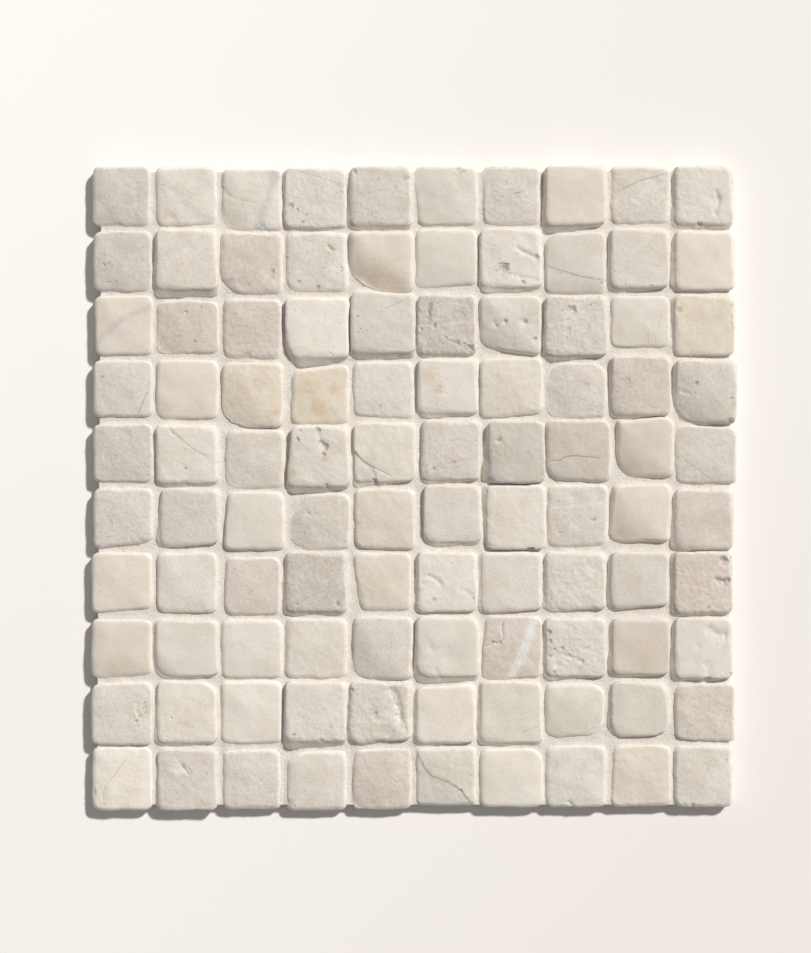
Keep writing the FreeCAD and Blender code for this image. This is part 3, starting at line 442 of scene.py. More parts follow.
    (10, 6): ("green", "worn", 0.0, [
        ("ledge", [(-0.95, 0.95), (-0.7, 0.42), (-0.46, 0.14), (0.0, 0.0), (0.32, -0.18),
            (0.53, -0.35), (0.95, -0.85)], 0.4),
        ("crack", [(-0.88, 0.85), (-0.7, 0.42), (-0.46, 0.14), (0.0, 0.0), (0.32, -0.18),
            (0.53, -0.35), (0.7, -0.6), (0.9, -0.78)], 1.0), ("pit", 0.5, -0.34, 1.0, 0.5),
        ("vein", [(-0.6, -0.4), (0.1, -0.7)], 9, -0.4)]),
    (10, 7): ("cream", "smooth", 0.0, []),
    (10, 8): ("white", "worn", -0.07, [
        ("gouge", [(-0.28, -0.62), (-0.1, -0.8), (0.0, -1.0)], 0.9, 0.5),
        ("vein", [(-0.6, 0.6), (-0.6, 0.4)], 1, -0.8)]),
    (10, 9): ("peach", "worn", 0.0, [("pit", -0.3, -0.1, 0.5, 0.2)]),
    (10, 10): ("grey", "worn", 0.01, [
        ("gouge", [(0.14, 0.6), (0.0, 0.26)], 0.8, 0.3), ("pit", 0.76, 0.7, 0.7, 0.3),
        ("pit", -0.65, -0.8, 0.9, 0.5), ("pit", -0.4, -0.84, 1.2, 0.5)]),
}
outlines = {}  # each finished stone's middle and the radius of its outline at each step round it


def unevenness(places, wavelength, seed, octaves=2):  # smooth random heights from -1 to 1
    shifted = np.asarray(places) / wavelength + np.array([seed * 7.13, seed * 3.71, seed * 1.37])
    return np.array([noise.fractal(Vector(p), 1.0, 2.0, octaves) for p in shifted.tolist()])


def easeRound(values, reach):  # a closed row of values, eased over so many neighbours each side
    steps = np.arange(-int(reach * 3), int(reach * 3) + 1)
    weights = np.exp(-0.5 * (steps / reach) ** 2)
    return sum(np.roll(values, s) * w for s, w in zip(steps, weights)) / weights.sum()


def rampUp(values, low, high):  # 0 below low, 1 above high, and smooth between them
    share = np.clip((values - low) / (high - low), 0, 1)
    return share * share * (3 - 2 * share)


# Distance to a line of points, positive on its left, and the share of the way along it
def alongLine(x, y, points):
    best = np.full(len(x), 1e9)
    signed, travel = np.zeros(len(x)), np.zeros(len(x))
    lengths = [math.dist(a, b) for a, b in zip(points, points[1:])]
    done = 0.0
    for (ax, ay), (bx, by), length in zip(points, points[1:], lengths):
        ux, uy = (bx - ax) / length, (by - ay) / length
        share = np.clip((x - ax) * ux + (y - ay) * uy, 0, length)
        away = np.hypot(x - ax - ux * share, y - ay - uy * share)
        side = np.where(ux * (y - ay) - uy * (x - ax) >= 0, 1.0, -1.0)
        nearer = away < best
        best = np.where(nearer, away, best)
        signed = np.where(nearer, away * side, signed)
        travel = np.where(nearer, (done + share) / sum(lengths), travel)
        done += length
    return signed, travel


# The radii round the middle at which a plane with this lean cuts a solid
def outlineAt(tree, middle, level, lean):
    start = Vector((middle[0], middle[1], level)) * mm
    radii = []
    for step in range(sheet["outlineSteps"]):
        angle = 2 * math.pi * step / sheet["outlineSteps"]
        x, y = math.cos(angle), math.sin(angle)
        hit = tree.ray_cast(start, Vector((x, y, lean[0] * x + lean[1] * y)))[0]
        radii.append(math.hypot(hit.x / mm - middle[0], hit.y / mm - middle[1]))
    return np.array(radii)


# What a stone's solid says: its middle, its face's height and lean, and its outlines
def readStone(tree, corners):
    middle = [(min(c[k] for c in corners) + max(c[k] for c in corners)) / 2 for k in range(2)]

    def faceHeight(x, y):
        above = Vector((middle[0] + x, middle[1] + y, sheet["readFrom"])) * mm
        return tree.ray_cast(above, Vector((0, 0, -1)))[0].z / mm

    span = sheet["leanSpan"]
    lean = [(faceHeight(span, 0) - faceHeight(-span, 0)) / (2 * span),
            (faceHeight(0, span) - faceHeight(0, -span)) / (2 * span)]
    height = faceHeight(0, 0)
    foot = outlineAt(tree, middle, sheet["footLevel"], (0, 0))
    # Only a solid with a spread foot has corners at the height where its foot begins to slope
    crisp = sum(abs(c.z - sheet["footTop"]) < sheet["same"] for c in corners) > 3
    rim = outlineAt(tree, middle, height - sheet["crispDrop"], lean) if crisp else foot
    return {"middle": middle, "height": height, "lean": lean, "foot": foot, "rim": rim, "crisp": crisp}


# An outline whose right and far halves are stretched, as radii round the same middle
def stretchOutline(radii, right, far):
    turn = np.arange(len(radii)) * 2 * math.pi / len(radii)
    x, y = radii * np.cos(turn), radii * np.sin(turn)
    x = np.where(x > 0, x * (1 + right / x.max()), x)
    y = np.where(y > 0, y * (1 + far / y.max()), y)
    angle = np.arctan2(y, x) % (2 * math.pi)
    order = np.argsort(angle)
    return np.interp(turn, angle[order], np.hypot(x, y)[order], period=2 * math.pi)


# Every stone's outlines spread to the right and the far side, as far as the next stones allow
def spreadStones(read):
    for (row, column), facts in read.items():
        right, far = spreads.get((row, column), stone["spread"])
        right = 0.0 if column == sheet["perSide"] else right
        far = 0.0 if row == 1 else far
        for name in ("rim", "foot"):
            facts[name] = stretchOutline(easeRound(facts[name], sheet["outlineEasing"]), right, far)
    turn = np.arange(sheet["outlineSteps"]) * 2 * math.pi / sheet["outlineSteps"]
    for (row, column), facts in read.items():
        for besideRow, besideColumn in ((row, column + 1), (row - 1, column), (row - 1, column + 1)):
            beside = read.get((besideRow, besideColumn))
            if beside is None:
                continue
            x = facts["middle"][0] + facts["foot"] * np.cos(turn) - beside["middle"][0]
            y = facts["middle"][1] + facts["foot"] * np.sin(turn) - beside["middle"][1]
            reach = np.interp(np.arctan2(y, x), turn, beside["foot"], period=2 * math.pi)
            tooNear = np.clip(stone["leastJoint"] + reach - np.hypot(x, y), 0, stone["mostRetreat"])
            tooNear = easeRound(tooNear, 2) * stone["retreat"]
            for name in ("foot", "rim"):
                facts[name] = facts[name] - tooNear


# A flat grid with rings of sides hanging from it, closed below: each ring is one lower
def stoneBlock(cells, ringCount):
    bm = bmesh.new()
    bmesh.ops.create_grid(bm, x_segments=cells, y_segments=cells, size=1)
    lowest = [e for e in bm.edges if e.is_boundary]
    for _ in range(ringCount):
        made = bmesh.ops.extrude_edge_only(bm, edges=lowest)["geom"]
        lowered = [g for g in made if isinstance(g, bmesh.types.BMVert)]
        bmesh.ops.translate(bm, verts=lowered, vec=(0, 0, -1))
        lowest = [g for g in made if isinstance(g, bmesh.types.BMEdge) and g.is_boundary]
    bmesh.ops.edgeloop_fill(bm, edges=lowest)
    for edge in lowest:
        edge.smooth = False
    bmesh.ops.recalc_face_normals(bm, faces=bm.faces)
    return bm


# The block's places moved onto the stone: a leaning face, a worn rim, sloping and straight sides
def shapeBlock(unit, facts, lowerRings, chance):
    rimRadii, steps = facts["rim"], sheet["outlineSteps"]
    angle = np.arctan2(unit[:, 1], unit[:, 0]) % (2 * math.pi)
    turn = np.arange(steps + 1) * 2 * math.pi / steps
    slope = (np.roll(rimRadii, -1) - np.roll(rimRadii, 1)) / (4 * math.pi / steps)
    facing = easeRound(np.clip(rimRadii / np.hypot(rimRadii, slope), 0.6, 1), 3)
    square = np.maximum(np.abs(np.cos(turn[:-1])), np.abs(np.sin(turn[:-1])))
    lost = np.median(rimRadii * square) / square - rimRadii
    worn = np.clip(lost - stone["wornFrom"], 0, stone["mostWorn"])
    wider = easeRound(1 + stone["wornWiden"] * worn, 4) * facts["rimUneven"]
    radius, foot, facing, wider = (
        np.interp(angle, turn, np.append(values, values[0]))
        for values in (rimRadii, facts["foot"], facing, wider)
    )
    rimRound = chance.uniform(*stone["crispRim" if facts["crisp"] else "softRim"])
    widen = 1.0 if facts["crisp"] else chance.uniform(*stone["softRimWiden"])
    rimDepth = rimRound * (1 + stone["cornerRound"] * np.sin(2 * angle) ** 4)
    if facts["crisp"]:
        alongLight = np.abs(np.cos(angle - math.pi / 4)) ** 1.5
        widen = widen + stone["crispWiden"] * alongLight
        rimDepth = rimDepth * (1 + stone["crispDeepen"] * alongLight)
    reach = np.minimum(rimDepth * widen * wider / facing, stone["mostRim"] * radius)

    across = np.maximum(np.abs(unit[:, 0]), np.abs(unit[:, 1]))
    cells = round(2 / (np.sort(np.unique(np.round(unit[:, 0], 5)))[1] + 1))
    flatPart = 1 - 2 * stone["rimCells"] / cells
    inward = np.clip((1 - across) / (1 - flatPart), 0, 1)
    bend = inward * math.pi / 2
    onRim = across > flatPart
    straight = stone["chamfer"]
    inside = np.where(onRim, reach * (straight * inward + (1 - straight) * (1 - np.cos(bend))),
                      radius - (radius - reach) * across / flatPart)
    drop = rimDepth * np.where(onRim, straight * (1 - inward) + (1 - straight) * (1 - np.sin(bend)), 0)
    pillow = stone["crispPillow" if facts["crisp"] else "softPillow"]
    drop = drop + pillow * ((radius - inside) / radius) ** 2

    depth = np.rint(-unit[:, 2]).astype(int)
    slopes = stone["crispSlope" if facts["crisp"] else "softSlope"]
    slide = np.array((0.0,) + slopes + (1.0,) * len(lowerRings))[depth]
    lower = np.array((0.0,) * (len(slopes) + 1) + lowerRings)[depth]
    outward = np.stack([np.cos(angle), np.sin(angle)], 1)
    flat = outward * (radius - inside + (foot - radius) * slide)[:, None]
    flat[across == 0] = 0
    level = facts["height"] + facts["lean"][0] * flat[:, 0] + facts["lean"][1] * flat[:, 1] - drop
    bottom = np.minimum(sheet["footTop"], level - stone["leastSide"])
    level = level + (bottom - level) * slide
    level = level + (sheet["underside"] - level) * lower
    # The second value pales each rim's middle in the material: worn rims, and a painted highlight as
    # well
    return np.column_stack([flat, level]), np.where(depth > 0, 0.0, np.sin(2 * bend)), depth


# How far each place sinks for the stone's marks, and what the material needs of them
def markStone(places, marks, masks, seed):
    half = sheet["halfStone"]
    x, y = places[:, 0], places[:, 1]
    ragged = unevenness(places, stone["raggedLength"], seed + 0.3, 3)
    sink, lower, lift = np.zeros(len(places)), np.zeros(len(places)), 0
    for mark in marks:
        name, *rest = mark
        if name in ("pit", "dent", "chip"):
            u, v, radius, depth = rest
            high = (places[:, 2].max() - places[:, 2]) * (0.6 if name == "chip" else 0.3)
            away = np.sqrt((x - u * half) ** 2 + (y - v * half) ** 2 + high ** 2) / radius
            away = away * (1 + (0.1 if name == "dent" else 0.5) * ragged)
            if name == "dent":
                depth *= stone["wideDentDepth"] if radius > stone["wideDent"] else 1
                share = (places[:, 2] - sheet["footTop"]) / (places[:, 2].max() - sheet["footTop"])
                sink += depth * np.exp(-2 * away ** 2) * np.clip(share, 0, 1)
            else:
                hollow = depth * min(1, 0.3 + 0.8 * depth) * (1 - rampUp(away, 0.35, 1.0))
                sink += hollow * (1 + 0.5 * ragged)
                near = (1 - rampUp(away, 0.2, 1.6)) * min(1, 0.2 + depth)
                masks["pitMask"] = np.maximum(masks["pitMask"], near * (0.55 if name == "chip" else 1))
        elif name == "roll":
            u, v, start, fall = rest
            along = (x * u + y * v) / (half * math.hypot(u, v))
            lower += fall * np.clip((along - start) / (1 - start), 0, 1.3) ** 2
            lift = max(lift, min(stone["rollLift"] * fall, stone["mostRollLift"]) if fall > 2 else 0)
        elif name in ("gouge", "groove", "crack", "ledge", "vein"):
            points, *sizes = rest
            points = [(u * half, v * half) for u, v in points]
            signed, travel = alongLine(x, y, points)
            signed = signed + ragged * (0.25 if name == "crack" else 0.6)
            fade = np.minimum(rampUp(travel, 0, 0.12), 1 - rampUp(travel, 0.88, 1))
            if name == "gouge":
                groove = 1 - rampUp(np.abs(signed) / sizes[0], 0.1, 1.5)
                fade = 1 - rampUp(np.abs(travel - 0.5), 0.25, 0.52)
                sink += sizes[1] * groove * (0.75 + 0.9 * ragged) * fade
                near = 1 - rampUp(np.abs(signed) / sizes[0], 0.1, 1.4)
                near = near * min(1, 0.1 + 1.2 * sizes[1])
                rough = 0.8 * near * fade * (0.8 + 0.8 * ragged)
                masks["pitMask"] = np.maximum(masks["pitMask"], rough)
            elif name == "groove":
                groove = np.exp(-(signed / sizes[0]) ** 2)
                sink += sizes[1] * groove * (0.85 + 0.5 * ragged) * fade
            elif name == "crack":
                sink += 0.15 * sizes[0] * np.exp(-(signed / 0.5) ** 2) * fade
                near = np.abs(signed) < np.abs(masks["crackSide"])
                masks["crackSide"] = np.where(near, signed, masks["crackSide"])
                masks["crackDepth"] = np.where(near, sizes[0] * fade, masks["crackDepth"])
            elif name == "ledge":
                sink += sizes[0] * (1 - rampUp(signed, -0.5, 0.1)) if sizes[0] > 0 else (
                    -sizes[0] * rampUp(signed, -0.1, 0.5))
            else:
                band = 1 - rampUp(np.abs(signed) * 2 / sizes[0], 0.2, 1.5)
                masks["veinMask"] += band * sizes[1] * (0.8 + 0.5 * unevenness(places, 5.0, seed + 0.9))
        else:
            # Stain marks: the small real stains, and the wide ones that are painted shade
            u, v, radius, strength = rest
            away = np.hypot(x - u * half, y - v * half) / radius * (1 + 0.5 * ragged)
            masks["stainMask"] = np.maximum(masks["stainMask"], strength * (1 - rampUp(away, 0.2, 1.3)))
    stand = places[:, 2].max() - sheet["footTop"]
    share = np.clip((places[:, 2] - sheet["footTop"]) / stand, 0, 1)
    return sink, np.minimum(lower - lift, stone["mostRoll"] * stand) * share


# One stone's mesh and what its material needs at each vertex
def makeStone(facts, row, column):
    kind, surface, lightness, marks = stones[(row, column)]
    seed = 10 * row + column
    chance = random.Random(seed)
    outer = row in (1, sheet["perSide"]) or column in (1, sheet["perSide"])
    lowerRings = stone["outerRings" if outer else "hiddenRings"]
    slopeCount = len(stone["crispSlope" if facts["crisp"] else "softSlope"])
    ringCount = slopeCount + len(lowerRings)
    fine = surface == "rough" or any(m[0] in ("pit", "gouge", "crack", "chip", "ledge") for m in marks)
    turn = np.arange(sheet["outlineSteps"]) * 2 * math.pi / sheet["outlineSteps"]
    rim = facts["rim"]
    ring = np.column_stack([np.cos(turn) * rim, np.sin(turn) * rim, np.zeros(len(rim))])
    stand = np.maximum(facts["foot"] - rim, 0)
    rim = rim + stone["wave"] * (unevenness(ring, stone["waveLength"], seed, 3) + stone["waveOut"])
    footWave = stone["footWave"] * unevenness(ring, stone["footWaveLength"], seed + 0.2, 3)
    footWave = np.minimum(footWave - stone["footIn"], stone["mostFootWave"])
    rimWave = np.clip(unevenness(ring, stone["rimUnevenLength"], seed + 0.6), -1, 1)
    facts["rim"] = rim
    facts["rimUneven"] = 1 + stone["rimUneven"] * rimWave
    facts["foot"] = rim + np.maximum(stand + footWave * np.clip(stand / 2, 0, 1), 0)
    outlines[(row, column)] = (facts["middle"], facts["foot"])
    if facts["crisp"]:
        leanX, leanY = facts["lean"]
        rimLevel = facts["height"] + ring[:, 0] * leanX + ring[:, 1] * leanY - stone["rimFall"]
        short = stone["steepness"] * (facts["foot"] - rim) - (rimLevel - sheet["footTop"])
        facts["height"] += min(max(short.max(), 0), stone["mostLift"])

    bm = stoneBlock(stone["fineCells" if fine else "plainCells"], ringCount)
    for face in bm.faces:
        face.material_index = kinds.index(kind)
        face.smooth = len(face.verts) == 4
    mesh = bpy.data.meshes.new("stone")
    bm.to_mesh(mesh)
    bm.free()
    count = len(mesh.vertices)
    unit = np.empty(count * 3)
    mesh.vertices.foreach_get("co", unit)
    places, rimWear, depth = shapeBlock(unit.reshape(-1, 3), facts, lowerRings, chance)
    mesh.vertices.foreach_set("co", places.ravel())
    mesh.update()
    normals = np.empty(count * 3)
    mesh.vertices.foreach_get("normal", normals)
    normals = normals.reshape(-1, 3)

    masks = {name: np.zeros(count) for name in ("pitMask", "veinMask", "stainMask", "crackDepth")}
    masks["crackSide"] = np.full(count, stone["noCrack"])
    # Marks are placed from the middle of the stone's cell, which a short stone doesn't fill
    halfway = (sheet["perSide"] + 1) / 2
    cell = sheet["pitch"] * np.array([column - halfway, halfway - row])
    fromCell = places + np.append(facts["middle"] - cell, 0)
    sink, lower = markStone(fromCell, marks, masks, seed)
    sink = sink * (depth < slopeCount)
    rise = stone["undulate"] * unevenness(places, stone["undulateLength"], seed + 0.7)
    rise += stone["bumps"][surface] * unevenness(places, stone["bumpLength"], seed + 0.4, 3)
    rise += stone["grains"][surface] * unevenness(places, stone["grainLength"], seed + 0.5, 4)
    rise[depth == ringCount] = 0
    places = places + normals * (rise - sink)[:, None]
    places[:, 2] -= lower
    places[depth == ringCount, 2] = sheet["underside"]
    masks["rimWear"] = rimWear
    masks["stoneSeed"] = np.full(count, float(seed))
    masks["stoneShade"] = np.full(count, 1 + lightness + stone["looseAmount"] * chance.uniform(-1, 1))
    places[:, :2] += facts["middle"]
    mesh.vertices.foreach_set("co", (places * mm).ravel())
    return mesh, masks


# The corners of each separate solid in a mesh, from the left
def islandsOf(bm):
    seen, islands = set(), []
    for first in bm.verts:
        if first in seen:
            continue
        seen.add(first)
        waiting, island = [first], []
        while waiting:
            vert = waiting.pop()
            island.append(vert.co / mm)
            for edge in vert.link_edges:
                other = edge.other_vert(vert)
                if other not in seen:
                    seen.add(other)
                    waiting.append(other)
        islands.append(island)
    order = sorted((sum(c.x for c in island) / len(island), k) for k, island in enumerate(islands))
    return [islands[k] for _, k in order]


# What the solids of one row say, from the left
def readRow(row):
    solid = bmesh.new()
    solid.from_mesh(frame["nodes"][f"tile_row_{row:02d}"].data)
    bmesh.ops.remove_doubles(solid, verts=solid.verts, dist=1e-6)
    tree = BVHTree.FromBMesh(solid)
    facts = [readStone(tree, corners) for corners in islandsOf(solid)]
    solid.free()
    return facts


# A finished mesh as an object in the scene
def addObject(mesh, materials):
    for material in materials:
        mesh.materials.append(material)
    made = bpy.data.objects.new(mesh.name, mesh)
    bpy.context.scene.collection.objects.link(made)
    return made


# The stones of one row as one piece
def makeRow(row, read, materials):
    node = f"tile_row_{row:02d}"
    joined = bmesh.new()
    gathered = {}
    for column in range(1, sheet["perSide"] + 1):
        mesh, masks = makeStone(read[(row, column)], row, column)
        joined.from_mesh(mesh)
        bpy.data.meshes.remove(mesh)
        for name, values in masks.items():
            gathered.setdefault(name, []).append(values)
    mesh = bpy.data.meshes.new(f"tumbledStonesRow{row:02d}")
    joined.to_mesh(mesh)
    joined.free()
    for name, values in gathered.items():
        layer = mesh.attributes.new(name, "FLOAT", "POINT")
        layer.data.foreach_set("value", np.concatenate(values))
    piece = addObject(mesh, [materials[kind] for kind in kinds])
    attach(piece, "root")
    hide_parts(node)
    return piece


# Grout

grout = {
    "acrossJoint": 5,      # cells across a joint
    "alongStone": 26,      # cells along a stone's side
    "underStone": 0.8,     # how far the filler runs in behind a stone's side
    "overNet": 0.08,       # how far above the stones' undersides it starts
    "climb": -0.1,         # how far the filler climbs the stones' rims
    "hollow": 0.30,        # how far a joint sinks between stones
    "hollowReach": 1.1,    # the distance from a stone at which it is that deep
    "undulate": 0.30,
    "raise": 0.2,          # a share of that, added everywhere
    "undulateLength": 8.0,
    "sand": 0.12,
    "sandLength": 1.4,
    "leftWash": 2.2,       # how far the joints' left ends are washed out at the far side
    "leftWashReach": 20.0,
    "easing": 40,
    "lookAround": 2,       # how far from a place in a joint its stones are looked for
    "steepEdge": 1.0,      # the angle between two faces from which their edge is drawn sharp
}


# Where the grid's lines lie from the sheet's middle, and which spans are joints
def jointLines():
    pitch, count = sheet["pitch"], sheet["perSide"]
    joint = pitch - 2 * sheet["halfStone"]
    lines, isJoint = [sheet["groutLow"]], []

    def addSpan(length, cells, joined):
        start = lines[-1]
        lines.extend(start + length * (k + 1) / cells for k in range(cells))
        isJoint.extend([joined] * cells)

    for number in range(1, count):
        addSpan((number - count / 2) * pitch - joint / 2 - lines[-1], grout["alongStone"], False)
        addSpan(joint, grout["acrossJoint"], True)
    addSpan(sheet["groutHigh"] - lines[-1], grout["alongStone"], False)
    return np.array(lines), isJoint


# The middle of a cell's stone, the direction to a place from it, and its outline's radius that way
def stoneEdge(cellAt, place):
    column, row = (
        min(max(math.floor(along / sheet["pitch"] + sheet["perSide"] / 2) + 1, 1), sheet["perSide"])
        for along in (cellAt[0], -cellAt[1])
    )
    middle, radii = outlines[(row, column)]
    angle = math.atan2(place[1] - middle[1], place[0] - middle[0]) % (2 * math.pi)
    turn = np.arange(sheet["outlineSteps"] + 1) * 2 * math.pi / sheet["outlineSteps"]
    return middle, angle, np.interp(angle, turn, np.append(radii, radii[0]))


# How far a place in the joints is from the nearest stone
def gapTo(x, y):
    gaps, off = [], grout["lookAround"]
    for cellAt in ((x + off, y + off), (x + off, y - off), (x - off, y + off), (x - off, y - off)):
        middle, _, radius = stoneEdge(cellAt, (x, y))
        gaps.append(math.hypot(x - middle[0], y - middle[1]) - radius)
    return min(gaps)


# The joint filler, fitted round the finished stones
def makeGrout(material):
    lines, isJoint = jointLines()
    cells = len(isJoint)
    bm = bmesh.new()
    bmesh.ops.create_grid(bm, x_segments=cells, y_segments=cells, size=1)
    pockets = []
    for face in bm.faces:
        middle = face.calc_center_median()
        a, b = (int((middle[k] + 1) / 2 * cells) for k in range(2))
        if not isJoint[a] and not isJoint[b]:
            pockets.append(face)
    bmesh.ops.delete(bm, geom=pockets, context="FACES")
    for vert in bm.verts:
        across, along = (round((share + 1) / 2 * cells) for share in vert.co[:2])
        vert.co = Vector((lines[across], lines[along], 0))

    low, high = sheet["groutLow"], sheet["groutHigh"]
    near = sheet["same"]
    ends = {vert: [not low + near < vert.co[k] < high - near for k in range(2)] for vert in bm.verts}
    for vert in bm.verts:
        wash = grout["leftWash"] * (vert.co.y - low) / (high - low)
        vert.co.x += wash * max(0, 1 - (vert.co.x - low) / grout["leftWashReach"])
    held = set()
    for vert in bm.verts:
        if not vert.is_boundary:
            continue
        atSide, atEnd = ends[vert]
        besideStone = any(
            len(e.link_faces) == 1
            and not any(ends[e.verts[0]][k] and ends[e.verts[1]][k] for k in range(2))
            for e in vert.link_edges
        )
        held.add(vert)
        if besideStone:
            middle, angle, radius = stoneEdge(vert.co, vert.co)
            radius -= grout["underStone"]
            x = vert.co.x if atSide else middle[0] + radius * math.cos(angle)
            y = vert.co.y if atEnd else middle[1] + radius * math.sin(angle)
            vert.co = Vector((x, y, 0))
    free = [v for v in bm.verts if v not in held]
    for _ in range(grout["easing"]):
        bmesh.ops.smooth_vert(bm, verts=free, factor=0.5, use_axis_x=True, use_axis_y=True)

    top = list(bm.faces)
    made = bmesh.ops.extrude_face_region(bm, geom=top, use_keep_orig=True)["geom"]
    raised = [g for g in made if isinstance(g, bmesh.types.BMVert)]
    bmesh.ops.recalc_face_normals(bm, faces=bm.faces)
    places = np.array([v.co for v in raised])
    gap = np.array([gapTo(x, y) for x, y, _ in places])
    level = sheet["groutTop"] + grout["climb"]
    level = level - grout["hollow"] * rampUp(gap, 0.0, grout["hollowReach"])
    level += grout["undulate"] * (unevenness(places, grout["undulateLength"], 3.1) + grout["raise"])
    level += grout["sand"] * unevenness(places, grout["sandLength"], 5.7, 3)
    for vert in bm.verts:
        vert.co.z = sheet["underside"] + grout["overNet"]
    for vert, z in zip(raised, level.tolist()):
        vert.co.z = z
    for vert in bm.verts:
        vert.co = vert.co * mm
    for face in bm.faces:
        face.smooth = True
    for edge in bm.edges:
        if len(edge.link_faces) == 2 and edge.calc_face_angle(0) > grout["steepEdge"]:
            edge.smooth = False
    bm.normal_update()
    mesh = bpy.data.meshes.new("groutWeb")
    bm.to_mesh(mesh)
    bm.free()
    piece = addObject(mesh, [material])
    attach(piece, "root")
    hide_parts("grout")
    return piece


# Backing net

net = {
    "inset": 2.4,          # from the sides of its solid
    "cell": 5.0,
    "weft": (1.2, 0.24),   # width and thickness of the flat strands across
    "warp": (0.62, 0.13),  # and of the thin pairs that hold them
    "warpApart": 0.36,
    "middle": 0.25,
}


# A flat strand through the given points, in millimetres
def addStrand(bm, points, width, thick, across):
    aside, up = across * (width / 2), Vector((0, 0, thick / 2))
    rings = []
    for point in points:
        rings.append([bm.verts.new((Vector(point) + a * aside + b * up) * mm)
                      for a, b in ((-1, 0), (0, 1), (1, 0), (0, -1))])
    for first, second in zip(rings, rings[1:]):
        for k in range(len(first)):
            bm.faces.new((first[k], first[k - 1], second[k - 1], second[k]))
    bm.faces.new(rings[0])
    bm.faces.new(rings[-1][::-1])


# Flat strands across, each held between the two crossing threads of a pair
def makeNet(material):
    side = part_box("backing_net")[1][0] / mm - net["inset"]
    cell, middle = net["cell"], net["middle"]
    count = int(2 * side / cell)
    lines = [(k - (count - 1) / 2) * cell for k in range(count)]
    bm = bmesh.new()
    for y in lines:
        addStrand(bm, [(-side, y, middle), (side, y, middle)], *net["weft"], Vector((0, 1, 0)))
    clear = net["weft"][1] / 2
    for x in lines:
        for sign in (-1, 1):
            z = middle + sign * (clear + net["warp"][1] / 2)
            swing = [sign * net["warpApart"] * (1 if k % 2 else -1) for k in range(count)]
            points = [(x + move, y, z) for move, y in zip(swing, lines)]
            points = [(x, -side, z)] + points + [(x, side, z)]
            addStrand(bm, points, *net["warp"], Vector((1, 0, 0)))
    bmesh.ops.recalc_face_normals(bm, faces=bm.faces)
    mesh = bpy.data.meshes.new("glassFibreNet")
    bm.to_mesh(mesh)
    bm.free()
    piece = addObject(mesh, [material])
    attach(piece, "root")
    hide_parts("backing_net")
    return piece


# Materials

light = {
    "keyTravel": (-0.62, -0.68, -1.0),
    "keyPower": 3.76,
    "keyAngle": 5,
    "keyTint": (1.0, 0.985, 0.965),
    "fill": 0.27,
    "fillTint": (0.975, 0.985, 1.0),
    "onFlat": 1.15,        # what a level surface gets of both
}


# The own colour of a surface that shows this tone, 0 to 255, where it lies level in the light
def toneOf(red, green, blue, lighter=1.0):
    linear = [((value / 255 + 0.055) / 1.055) ** 2.4 for value in (red, green, blue)]
    return (*(value * lighter / light["onFlat"] for value in linear), 1.0)


# A shader node with its inputs set to values or wired to sockets
def put(tree, kind, values=(), **settings):
    node = tree.nodes.new("ShaderNode" + kind)
    for name, value in settings.items():
        setattr(node, name, value)
    for name, value in dict(values).items():
        if isinstance(value, bpy.types.NodeSocket):
            tree.links.new(value, node.inputs[name])
        else:
            node.inputs[name].default_value = value
    return node


def mathOf(tree, operation, first, second=0.0, clamp=False):
    return put(tree, "Math", {0: first, 1: second}, operation=operation, use_clamp=clamp).outputs[0]


def plus(tree, first, second):
    return mathOf(tree, "ADD", first, second)


def minus(tree, first, second, clamp=False):
    return mathOf(tree, "SUBTRACT", first, second, clamp)


def times(tree, first, second, clamp=False):
    return mathOf(tree, "MULTIPLY", first, second, clamp)


def mixOf(tree, amount, first, second, blend="MIX"):
    node = put(tree, "Mix", {0: amount, 6: first, 7: second}, data_type="RGBA", blend_type=blend)
    return node.outputs[2]


def rampOf(tree, value, low, high, lowTo=0.0, highTo=1.0):
    values = {0: value, 1: low, 2: high, 3: lowTo, 4: highTo}
    return put(tree, "MapRange", values, interpolation_type="SMOOTHSTEP").outputs[0]


def greyOf(tree, value):
    return put(tree, "CombineColor", {k: value for k in range(3)}).outputs[0]


def readMask(tree, name):
    return put(tree, "Attribute", attribute_name=name, attribute_type="GEOMETRY").outputs["Fac"]


# Object coordinates in millimetres
def placeIn(tree):
    place = put(tree, "TexCoord").outputs["Object"]
    return put(tree, "VectorMath", {0: place, 3: 1 / mm}, operation="SCALE").outputs[0]


# The same, shifted so that no two stones share a pattern
def stonePlace(tree):
    seed = readMask(tree, "stoneSeed")
    far = {0: 37.0, 1: 19.0, 2: 11.0}
    shift = put(tree, "CombineXYZ", {k: times(tree, seed, far[k]) for k in far}).outputs[0]
    return put(tree, "VectorMath", {0: placeIn(tree), 1: shift}, operation="ADD").outputs[0]


# Noise from 0 to 1 whose patches are about so many millimetres wide
def patches(tree, place, size, detail=3.0, roughness=0.5):
    values = {"Vector": place, "Scale": 1 / size, "Detail": detail, "Roughness": roughness}
    return put(tree, "TexNoise", values).outputs["Fac"]


# Coordinates for a pattern whose size is a group's input
def sizedBy(tree, place, size):
    return put(tree, "VectorMath", {0: place, 1: size}, operation="DIVIDE").outputs[0]


# An empty shader group that puts out a colour and a height; a tuple among its inputs is a colour
def newGroup(name, inputs):
    tree = bpy.data.node_groups.new(name, "ShaderNodeTree")
    for label, value in inputs.items():
        kind = "NodeSocketColor" if isinstance(value, tuple) else "NodeSocketFloat"
        tree.interface.new_socket(name=label, in_out="INPUT", socket_type=kind).default_value = value
    for label, kind in (("Color", "NodeSocketColor"), ("Height", "NodeSocketFloat")):
        tree.interface.new_socket(name=label, in_out="OUTPUT", socket_type=kind)
    return tree, tree.nodes.new("NodeGroupInput").outputs


